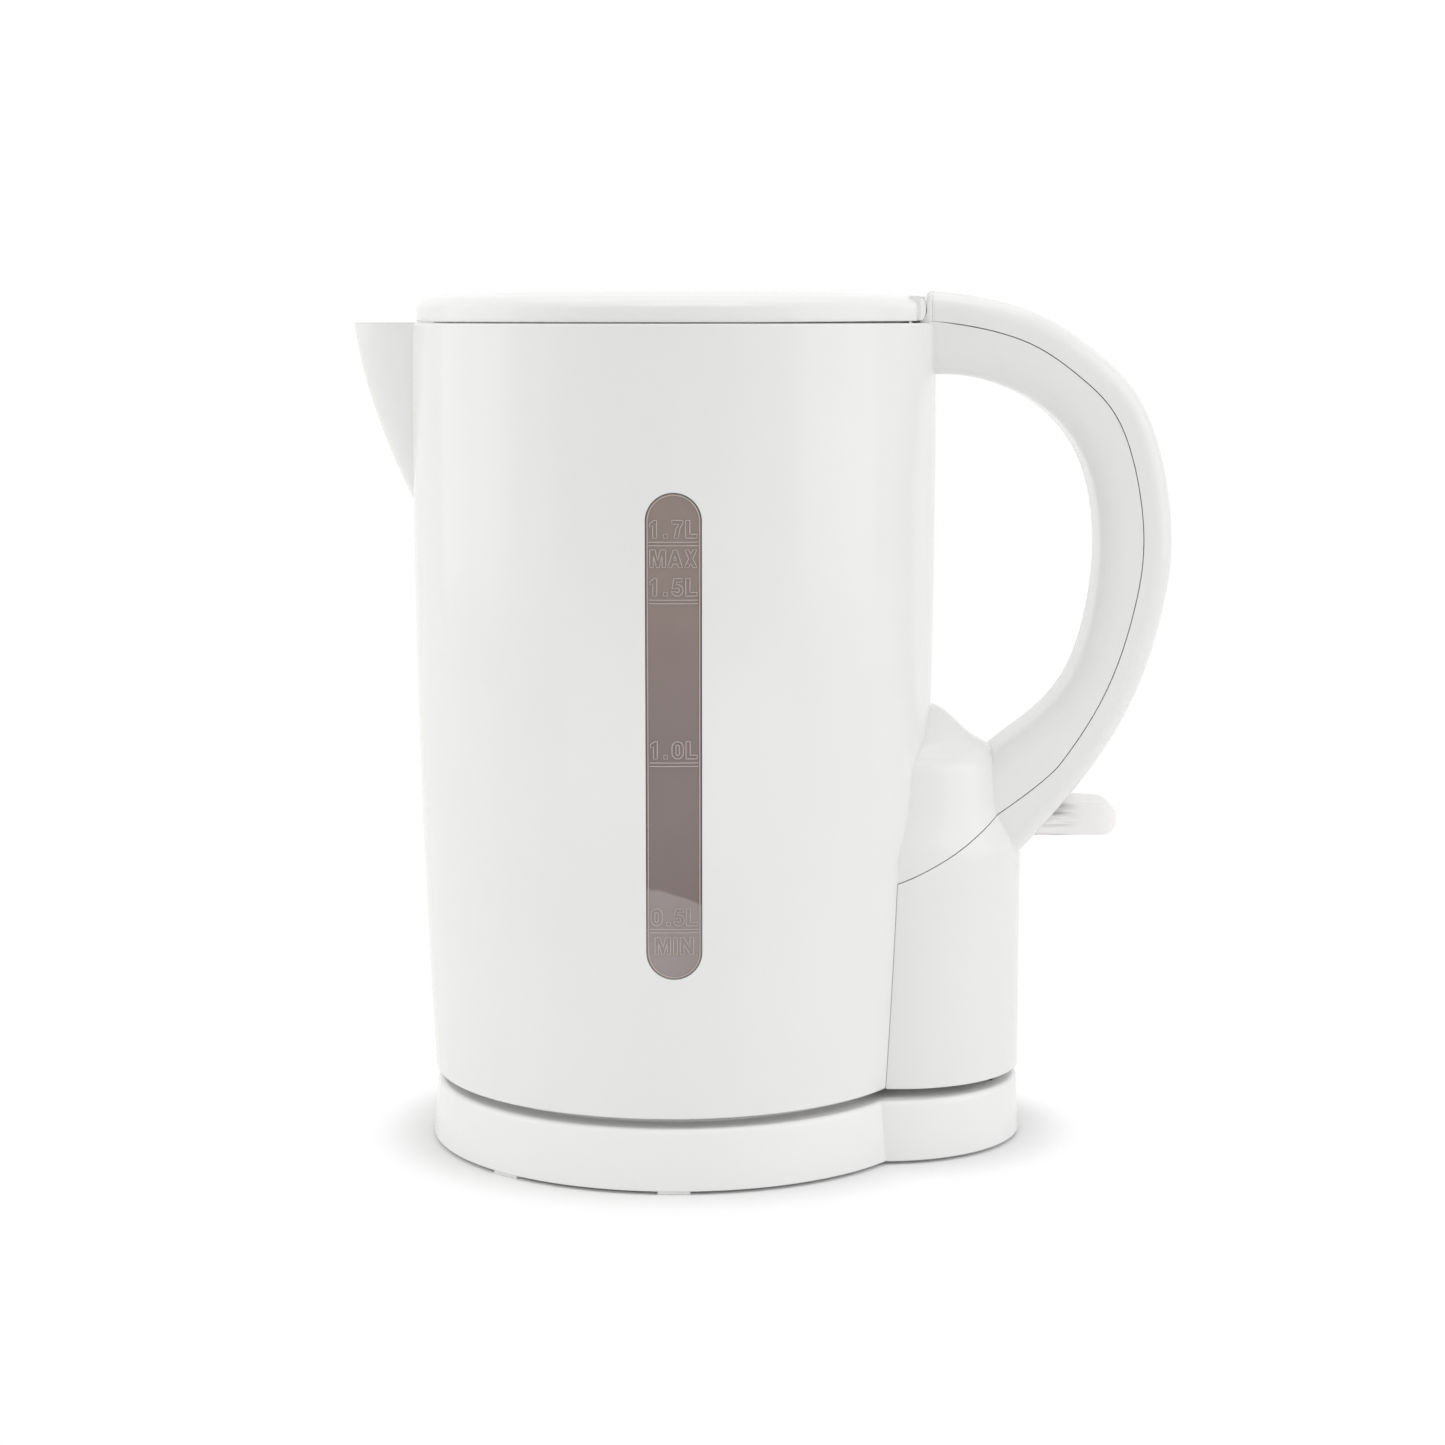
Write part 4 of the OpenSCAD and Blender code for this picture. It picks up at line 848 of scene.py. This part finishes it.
def filter_rails():
    low = FILTER_TOP - FILTER_H - LEDGE_T
    reach = jug_r(low) - WALL - RAIL_DEPTH
    deep = reach + RAIL_DEPTH + WALL / 2
    start, end = 180 - RAIL_ANGLE, 180 + RAIL_ANGLE
    for angle in (start, end):
        yield turned(block(reach, deep, -RAIL_T / 2, RAIL_T / 2, low, FILTER_TOP), angle)
    ledge = arc(0, 0, reach, start, end, 16) + arc(0, 0, deep, end, start, 16)
    yield prism(ledge, upright, low, low + LEDGE_T)


def hinge_cheeks():
    """Stands on the rim behind each of the lid's ears, hollowed to let the ear turn."""
    for low, high in both_sides(*CHEEK):
        cheek = Made(block(CHEEK_X, RIM_R, low, high, JUG_H - OVER, EAR_TOP))
        # A toe reaches forward under the ear
        cheek.add(block(*CHEEK_TOE_X, low, high, JUG_H - OVER, CHEEK_TOE_TOP))
        cheek.cut(rod(EAR_R + CHEEK_GAP, (HINGE_X, HINGE_Z), low - OVER, high + OVER, along_y))
        yield cheek.keep(drum(CHEEK_R, 0, 2 * FAR))


def jug_moulding():
    rear = rear_shell().cut(cover_side(-SEAM_HALF), drum(NECK_R, JUG_H, LID_TOP))
    rear.cut(jug_form(-WALL / 2, -OVER, JUG_H))
    spout = Made(spout_form(0, 0)).cut(jug_form(-WALL / 2, 0, JUG_H + OVER))
    jug = Made(jug_wall()).add(rear, spout).cut(spout_form(WALL, OVER))
    jug.add(rod(LAND_R, (0, FLANGE_Z), LAND_IN, LAND_OUT, along_x))
    for angle in REST_ANGLES:
        jug.add(turned(rod(REST_R, (REST_REACH, 0), REST_Z, FLOOR_Z + FLOOR_T / 2, upright), angle))
    jug.add(*filter_rails(), *hinge_cheeks())
    post_foot = handle_inner.at(1)[1] + WALL / 2
    for y in (-HINGE_SCREW_Y, HINGE_SCREW_Y):
        spot = (HINGE_SCREW_X, y)
        jug.add(rod(HINGE_POST_R, spot, post_foot, JUG_H + LID_GAP, upright))
        jug.cut(pilot(HINGE_PILOT_R, spot, JUG_H - HINGE_PILOT_L, JUG_H + OVER))
    jug.cut(window_prism(0))
    jug.cut(rod(PORT_R, (0, FLANGE_Z), LAND_IN - OVER, LAND_OUT + OVER, along_x))
    for angle in CONTROL_SCREW_ANGLES:
        spot = on_circle(0, FLANGE_Z, CONTROL_SCREW_REACH, angle)
        jug.cut(pilot(CONTROL_SCREW_R, spot, LAND_IN - OVER, LAND_OUT + OVER, along_x))
    jug.cut(rod(STEAM_R, (0, STEAM_Z), BELLY_R - 15, BELLY_R + WALL, along_x))
    piece = jug.finish("jug_moulding", "kettle", "white_plastic", white)
    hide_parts("jug_body")


# ---- Handle cover ----

# The posts in the housing that take the bottom cover's screws
POST_R = 3.5
POST_ANGLE = 57
POST_REACH = HOUSING_R - WALL - POST_R + 0.4
POST_Z = (2.5, 20.5)
POST_PILOT_R = 1.3
POST_PILOT_L = 10


def handle_band():
    cover = rear_shell().keep(cover_side(SEAM_HALF))
    for angle in (-POST_ANGLE, POST_ANGLE):
        spot = on_circle(HOUSING_X, 0, POST_REACH, angle)
        cover.add(rod(POST_R, spot, *POST_Z, upright))
        cover.cut(pilot(POST_PILOT_R, spot, POST_Z[0], POST_Z[0] + POST_PILOT_L))
    cover.cut(jug_form(SEAM_HALF, -OVER, JUG_H), drum(NECK_R, JUG_H, JUG_H + 2 * LID_H))
    # The lever's slot, as deep as the lever sinks where it leaves the housing
    half_w = LEVER_HALF_W + SLOT_GAP
    low = LEVER_BOTTOM - SLOT_REACH * math.sin(math.radians(PRESS_ANGLE)) - SLOT_GAP
    high = LEVER_BOTTOM + LEVER_H + 2 * SLOT_GAP
    cover.cut(block(SLOT_X, PIVOT_X + SLOT_REACH + LEVER_L, -half_w, half_w, low, high))
    cover.cut(block(HINGE_X, HINGE_X + BRACKET_L, -BRACKET_HALF_W, BRACKET_HALF_W, *BRACKET_Z))
    piece = cover.finish("handle_band", "kettle", "white_plastic", white)
    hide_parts("handle_cover")


# ---- Lid ----


def lid_outline(d):
    """Half outline of the lid, from its lower edge over its crown to the middle, drawn in by d."""
    steps = 6
    crown = Curve([
        (LID_R - d, LID_TOP - 4.2 - d * 0.4), (LID_R - 1.2 - d * 0.8, LID_TOP - 2.7 - d * 0.7),
        (LID_R - 2.8 - d * 0.5, LID_TOP - 1.8 - d * 0.9), (LID_R - 4 - d * 0.3, LID_TOP - 1.6 - d),
        (LID_R - 8.6, LID_TOP - 0.8 - d), (LID_R - 16, LID_TOP - 0.2 - d), (LID_R - 22, LID_TOP - d),
    ])
    spans = len(crown.p) - 1
    return [tuple(crown.at(k / steps)) for k in range(spans * steps + 1)] + [(0, LID_TOP - d)]


def lid_shell():
    edge = 0.4
    lower = arc(LID_R - edge, LID_LOW + edge, edge, 270, 360, 4)
    below = LID_LOW - OVER
    lid = Made(revolve([(0, LID_LOW), *lower, *lid_outline(0)]))
    lid.cut(revolve([(0, below), (LID_R - LID_WALL, below), *lid_outline(LID_WALL)]))
    # The seam over the rim opens towards the hinge
    seam = [(20, below), (FAR, below), (FAR, LID_REAR_LOW), (50, LID_LOW + 0.25), (20, LID_LOW)]
    lid.cut(prism(seam, along_y, -FAR, FAR))
    # The rear edge is cut off behind the pin, closed by a wall, and reaches back only beside the neck
    lid.cut(block(REAR_WALL_END, FAR, -FAR, FAR, below, LID_TOP + OVER))
    rear = Made(revolve([(0, LID_REAR_LOW), (LID_R, LID_REAR_LOW), *lid_outline(0)]))
    wall = block(REAR_WALL_END - LID_WALL, REAR_WALL_END, -REAR_WALL_HALF_W, REAR_WALL_HALF_W,
                 LID_LOW, LID_TOP)
    lid.add(Made(wall).keep(rear))
    # Round the pin, so that an ear clears the rim and the cheek behind it as the lid turns
    start = -math.degrees(math.asin((HINGE_Z - LID_REAR_LOW) / EAR_R))
    end = math.degrees(math.asin((EAR_TOP - HINGE_Z) / EAR_R))
    outline = [(HINGE_X - 1, LID_REAR_LOW), *arc(HINGE_X, HINGE_Z, EAR_R, start, end, 24),
               (HINGE_X - 1, EAR_TOP)]
    for ear, knuckle in zip(both_sides(*EAR), both_sides(*KNUCKLE)):
        lid.add(Made(prism(outline, along_y, *ear)).keep(drum(LID_R, 0, 2 * FAR)))
        lid.add(rod(KNUCKLE_R, (HINGE_X, HINGE_Z), *knuckle, along_y))
    # Room between the knuckles for the bracket
    lid.cut(block(HINGE_X - KNUCKLE_R - 0.4, HINGE_X + 10, -BRACKET_HALF_W, BRACKET_HALF_W,
                  below, LID_LOW + 2 * LID_H))
    piece = lid.finish("lid_shell", "lid", "white_plastic", white)
    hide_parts("lid_cover")


# ---- Base ----


def base_form(d, z0, z1, edge=0, spread=0):
    """The base's main disc and its lobe, made smaller by d, the lobe's sides moved out by spread."""
    discs = []
    for x, r, draft in (
        (BASE_BACK, BASE_R, BASE_DRAFT),
        (HOUSING_X - spread, LOBE_R + spread, BASE_DRAFT / 2),
    ):
        bottom, top = r - d, r - draft - d
        low = max(edge / 3, 0.01)
        outline = [(0, z0), (bottom - low, z0), *arc(bottom - low, z0 + low, low, 285, 360, 4)]
        outline += arc(top - edge, z1 - edge, edge, 0, 90, 8) if edge else [(top, z1)]
        discs.append(revolve(outline + [(0, z1)], x=x))
    return Made(discs[0]).add(discs[1])


def base_housing():
    skin = BASE_H - BASE_SKIN
    table = KETTLE_Z + REST_Z
    post_top = table - BASE_SKIN / 2
    base = base_form(0, FOOT_H, BASE_H, BASE_EDGE_R, LOBE_SPREAD)
    edge = arc(TABLE_R - TABLE_EDGE_R, table - TABLE_EDGE_R, TABLE_EDGE_R, 0, 90)
    base.add(revolve([(0, skin), (TABLE_R, skin), *edge, (0, table)]))
    base.cut(base_form(BASE_WALL, FOOT_H - OVER, skin))
    base.cut(drum(TABLE_R - BASE_WALL, -OVER, table - BASE_SKIN))
    length, width = SOCKET_HOLE
    base.cut(block(SOCKET_X - length / 2, SOCKET_X + length / 2, -width / 2, width / 2, 0, FAR))
    for angle in BASE_SCREW_ANGLES:
        spot = (BASE_SCREW_REACH, 0)
        base.add(turned(rod(BASE_BOSS_R, spot, FOOT_H + 2, post_top, upright), angle))
        base.cut(turned(pilot(BASE_PILOT_R, spot, FOOT_H, FOOT_H + BASE_PILOT_L), angle))
    for x in (-CLAMP_X, CLAMP_X):
        base.add(rod(CLAMP_POST_R, (x, CLAMP_Y), CLAMP_Z, post_top, upright))
        base.cut(pilot(CLAMP_PILOT_R, (x, CLAMP_Y), CLAMP_Z - 2, CLAMP_Z + 6))
    base.cut(rod(CORD_HOLE_R, (0, CORD_Z), BASE_R - CORD_HOLE_L, BASE_R + OVER, along_y))
    # The base wears the lighter copy of the white, which is painted light from the floor
    piece = base.finish("base_housing", "base", "white_plastic", base_white_painted_light, 0)
    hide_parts("base_shell")


# ---- Switch lever ----


def lever_solid(d):
    """The lever's paddle with its tip rounded in both views, made smaller by d on each side."""
    reach = PIVOT_X + LEVER_L
    tip_r, corner_r = 4, 5
    side = [(LEVER_ROOT + d, LEVER_BOTTOM + d),
            *arc(reach - tip_r, LEVER_BOTTOM + tip_r, tip_r - d, -90, 90, 16),
            (LEVER_ROOT + d, LEVER_BOTTOM + LEVER_H - d)]
    form = Made(prism(side, along_y, -LEVER_HALF_W + d, LEVER_HALF_W - d))
    half = LEVER_HALF_W - corner_r
    # Starts behind the root, which the side view gives
    plan = [(LEVER_ROOT - 20, -LEVER_HALF_W + d),
            *arc(reach - corner_r, -half, corner_r - d, -90, 0, 8),
            *arc(reach - corner_r, half, corner_r - d, 0, 90, 8),
            (LEVER_ROOT - 20, LEVER_HALF_W - d)]
    return form.keep(prism(plan, upright, 0, FAR))


def switch_paddle():
    lever = lever_solid(0).cut(lever_solid(LEVER_WALL))
    half_w = LEVER_HALF_W - LEVER_WALL
    low, high = LEVER_BOTTOM + LEVER_WALL, LEVER_BOTTOM + LEVER_H - LEVER_WALL
    lever.cut(block(LEVER_ROOT - OVER, LEVER_ROOT + LEVER_WALL + OVER, -half_w, half_w, low, high))
    lever.add(rod(LEVER_HUB_R, (PIVOT_X, PIVOT_Z), -LEVER_HALF_W, LEVER_HALF_W, along_y))
    # The fork on the inner side of the pivot, from which the trip rod hangs
    for y in (-FORK_Y, FORK_Y):
        lever.add(block(*FORK_X, y - FORK_HALF_W, y + FORK_HALF_W, *FORK_Z))
    lever.cut(rod(LEVER_BORE_R, (PIVOT_X, PIVOT_Z), -9, 9, along_y))
    piece = lever.finish("switch_paddle", "switch", "switch_plastic", frosted)
    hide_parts("switch_lever")


# ---- Level window ----

# Outlines of the gauge's characters, one unit high. A character is a list of closed outlines.
GLYPHS = {
    "1": [[(0.17, 0), (0.39, 0), (0.39, 1), (0.24, 1), (0, 0.82), (0, 0.62), (0.17, 0.72)]],
    ".": [[(0, 0), (0.22, 0), (0.22, 0.22), (0, 0.22)]],
    "7": [[(0, 1), (0.62, 1), (0.62, 0.84), (0.46, 0.55), (0.36, 0), (0.13, 0), (0.23, 0.50),
           (0.40, 0.79), (0, 0.79)]],
    "L": [[(0, 0), (0.64, 0), (0.64, 0.21), (0.24, 0.21), (0.24, 1), (0, 1)]],
    "M": [[(0, 0), (0.20, 0), (0.20, 0.70), (0.37, 0), (0.53, 0), (0.70, 0.70), (0.70, 0), (0.90, 0),
           (0.90, 1), (0.60, 1), (0.45, 0.36), (0.30, 1), (0, 1)]],
    "A": [[(0, 0), (0.22, 0), (0.28, 0.20), (0.55, 0.20), (0.61, 0), (0.83, 0), (0.52, 1), (0.31, 1)],
          [(0.34, 0.38), (0.49, 0.38), (0.415, 0.68)]],
    "X": [[(0, 0), (0.24, 0), (0.36, 0.26), (0.48, 0), (0.71, 0), (0.47, 0.50), (0.70, 1), (0.47, 1),
           (0.36, 0.74), (0.25, 1), (0.02, 1), (0.24, 0.50)]],
    "I": [[(0, 0), (0.23, 0), (0.23, 1), (0, 1)]],
    "N": [[(0, 0), (0.21, 0), (0.21, 0.64), (0.55, 0), (0.77, 0), (0.77, 1), (0.56, 1), (0.56, 0.37),
           (0.22, 1), (0, 1)]],
    "5": [[(0.58, 1), (0.12, 1), (0.03, 0.42), (0.22, 0.42), *arc(0.31, 0.34, 0.13, 130, -130, 8),
           (0.0, 0.27), *arc(0.31, 0.33, 0.33, 200, 460, 14), (0.27, 0.80), (0.58, 0.80)]],
    "0": [[*arc(0.32, 0.68, 0.32, 0, 180, 8), *arc(0.32, 0.32, 0.32, 180, 360, 8)],
          [*arc(0.32, 0.70, 0.10, 0, 180, 6), *arc(0.32, 0.30, 0.10, 180, 360, 6)]],
}
GLYPH_H = 4.2
WORD_W = 11.2
# Text, the height of its lower edge, and by how many glyph heights it is narrower than the others
GAUGE_WORDS = [
    ("1.7L", 142.6, 0), ("MAX", 135.6, 0), ("1.5L", 128.8, 0),
    ("1.0L", 89.6, 0), ("0.5L", 48.7, 0), ("MIN", 41.6, 0.45),
]
# Each level has a pair of lines, this far apart
GAUGE_LINES = [141.2, 127.4, 88.2, 47.4]
LINE_PITCH = 0.85
# The raised line around the window's face, in from its edge
RIM_LINE = 0.55
# A raised line's own radius, and how closely it follows the jug
MARK_R = 0.13
MARK_STEP = 0.7
# How far the window's face, its thick middle and the two sides of its flange lie inside the jug's
# outer face, the gap round the window in its opening, and how far the flange stands out behind it
PANE_SINK = 0.2
PANE_BACK = WALL + 0.9
PANE_FLANGE = (WALL + 0.8, WALL + 2.3)
PANE_GAP = 0.14
PANE_FLANGE_REACH = 3


def on_jug(u, v, d):
    """A point of the window's face, drawn straight back onto the jug's side moved out by d."""
    x = WINDOW_X + u
    return (x, -math.sqrt((jug_r(v) + d) ** 2 - x * x), v)


def gauge_ridges():
    """Closed outlines and lines of the gauge, in millimetres across and up the window."""
    loops, lines = [], []
    for text, low, narrower in GAUGE_WORDS:
        widths = [max(u for loop in GLYPHS[c] for u, v in loop) for c in text]
        # The gap is wider before a point than after it
        shares = [2.4 if after == "." else 1.6 if c == "." else 1 for c, after in zip(text, text[1:])]
        word = WORD_W / GLYPH_H - narrower
        gap = (word - sum(widths)) / sum(shares)
        start = -word / 2
        for c, width, share in zip(text, widths, shares + [0]):
            for loop in GLYPHS[c]:
                loops.append([((start + u) * GLYPH_H, low + v * GLYPH_H) for u, v in loop])
            start += width + gap * share
    loops.append([(u - WINDOW_X, v) for u, v in window_outline(-RIM_LINE)])
    half = WINDOW_W / 2 - RIM_LINE - 0.35
    for z in GAUGE_LINES:
        for v in (z - LINE_PITCH / 2, z + LINE_PITCH / 2):
            lines.append([(-half, v), (half, v)])
    return loops, lines


def gauge_marks():
    """Fine raised lines on the window, as one mesh, coloured lighter than the pane as painted highlight.
    """
    data = bpy.data.curves.new("gauge_marks", "CURVE")
    data.dimensions = "3D"
    data.bevel_depth = MARK_R
    data.bevel_resolution = 1
    data.use_fill_caps = True
    loops, lines = gauge_ridges()
    for outline, closed in [(p, True) for p in loops] + [(p, False) for p in lines]:
        fine = []
        for a, b in zip(outline, outline[1:] + outline[:1] if closed else outline[1:]):
            parts = max(1, round(math.dist(a, b) / MARK_STEP))
            for i in range(parts):
                fine.append((a[0] + (b[0] - a[0]) * i / parts, a[1] + (b[1] - a[1]) * i / parts))
        if not closed:
            fine.append(outline[-1])
        line = data.splines.new("POLY")
        line.points.add(len(fine) - 1)
        for point, (u, v) in zip(line.points, fine):
            point.co = (*on_jug(u, v, -MARK_R), 1)
        line.use_cyclic_u = closed
    drawn = bpy.data.objects.new("gauge_marks", data)
    bpy.context.scene.collection.objects.link(drawn)
    graph = bpy.context.evaluated_depsgraph_get()
    mesh = bpy.data.meshes.new_from_object(drawn.evaluated_get(graph))
    bpy.data.objects.remove(drawn)
    mesh.transform(in_frame(KETTLE_Z))
    mesh.materials.clear()
    # Lighter than the pane, as painted highlight on the ridges
    mesh.materials.append(ridge_highlight)
    mesh.shade_smooth()
    piece = bpy.data.objects.new("gauge_marks", mesh)
    bpy.context.scene.collection.objects.link(piece)
    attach(piece, "kettle")


def gauge_window():
    pane = Made(jug_form(-PANE_SINK, OVER, JUG_H - OVER)).cut(jug_form(-PANE_BACK, 0, JUG_H))
    pane.keep(window_prism(-PANE_GAP))
    front, back = PANE_FLANGE
    flange = Made(jug_form(-front, OVER, JUG_H - OVER)).cut(jug_form(-back, 0, JUG_H))
    pane.add(flange.keep(window_prism(PANE_FLANGE_REACH)))
    piece = pane.finish("gauge_window", "kettle", "window_plastic", smoked)
    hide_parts("level_window")


# ---- Stage ----

# Name, place and aim in metres, width and height in metres, power in watts, colour
MIDDLE = (0, 0, 0.1)
LAMPS = [
    ("left_box", (-1.1, -0.35, 0.55), MIDDLE, (1.0, 1.2), 1.9, (1, 0.995, 0.96)),
    ("left_rear_box", (-1.1, 0.1, 0.5), MIDDLE, (1.0, 1.0), 2.2, (1, 0.995, 0.97)),
    ("right_box", (1.1, -0.3, 0.5), MIDDLE, (1.0, 1.2), 4.0, (1, 1, 1)),
    ("top_box", (0, 0.1, 1.3), MIDDLE, (1.2, 1.2), 4.0, (1, 1, 1)),
    ("top_strip", (0.05, -0.25, 1.1), MIDDLE, (0.5, 0.2), 0.8, (1, 1, 1)),
    ("low_box", (0.01, -0.33, 0.05), (0.01, 0, 0.03), (0.7, 0.08), 0.09, (1, 1, 1)),
]
WORLD_STRENGTH = 0.565
CAMERA_PLACE = (-0.0103, -0.7938, 0.2140)
CAMERA_TILT = 82.4
CAMERA_LENS = 76.48
FLOOR_SIZE = 30
# How far from the base, in metres, the floor fades to white
SHADOW_REACH = 0.018


def area_lamp(name, place, aim, size, power, colour):
    data = bpy.data.lights.new(name, "AREA")
    data.shape = "RECTANGLE"
    data.size, data.size_y = size
    data.energy = power
    data.color = colour
    lamp = bpy.data.objects.new(name, data)
    lamp.location = place
    lamp.rotation_euler = (Vector(aim) - Vector(place)).to_track_quat("-Z", "Y").to_euler()
    bpy.context.scene.collection.objects.link(lamp)


def floor_paper():
    """Pale paper, lit as it is beside the base and whiter away from it."""
    look = Look("floor_paper")
    look.fill(look.shader, {
        "Base Color": look.clouds(3, (0.90, 0.90, 0.90), (0.92, 0.92, 0.92), 0.3, 0.7),
        "Roughness": 0.9,
        "Specular IOR Level": 0.1,
    })
    distances = []
    for x, r in ((BASE_BACK, BASE_R), (HOUSING_X - LOBE_SPREAD, LOBE_R + LOBE_SPREAD)):
        inputs = {0: look.place, 1: ((KETTLE_X + x) * MM, 0, 0)}
        away = look.add("ShaderNodeVectorMath", inputs, operation="DISTANCE")
        distances.append(look.maths("SUBTRACT", away.outputs["Value"], r * MM))
    fade = look.mapped(look.maths("MINIMUM", *distances), 0, SHADOW_REACH, curve="SMOOTHSTEP")
    whiter = look.maths("MULTIPLY", fade, look.seen_directly())
    look.mixed_shader(whiter, look.shader, look.add("ShaderNodeEmission", {}), "Material Output")
    return look.owner


def stage():
    bpy.ops.mesh.primitive_grid_add(x_subdivisions=2, y_subdivisions=2, size=FLOOR_SIZE)
    floor = bpy.context.object
    floor.name = "floor"
    floor.data.materials.append(floor_paper())

    world = bpy.data.worlds.new("studio")
    bpy.context.scene.world = world
    air = Nodes(world)
    light = air.fill(air.tree.nodes["Background"], {"Color": (1, 1, 1, 1), "Strength": WORLD_STRENGTH})
    seen = air.add("ShaderNodeBackground", {"Color": (1, 1, 1, 1), "Strength": 1})
    air.mixed_shader(air.seen_directly(), light, seen, "World Output")
    for lamp in LAMPS:
        area_lamp(*lamp)


def camera():
    """The photo's point of view."""
    data = bpy.data.cameras.new("camera")
    data.lens = CAMERA_LENS
    data.sensor_width = 36
    view = bpy.data.objects.new("camera", data)
    view.location = CAMERA_PLACE
    view.rotation_euler = (math.radians(CAMERA_TILT), 0, 0)
    bpy.context.scene.collection.objects.link(view)
    bpy.context.scene.camera = view
    bpy.context.scene.view_settings.view_transform = "Standard"


camera()
jug_moulding()
handle_band()
lid_shell()
base_housing()
switch_paddle()
gauge_window()
gauge_marks()
dress_frame()
stage()
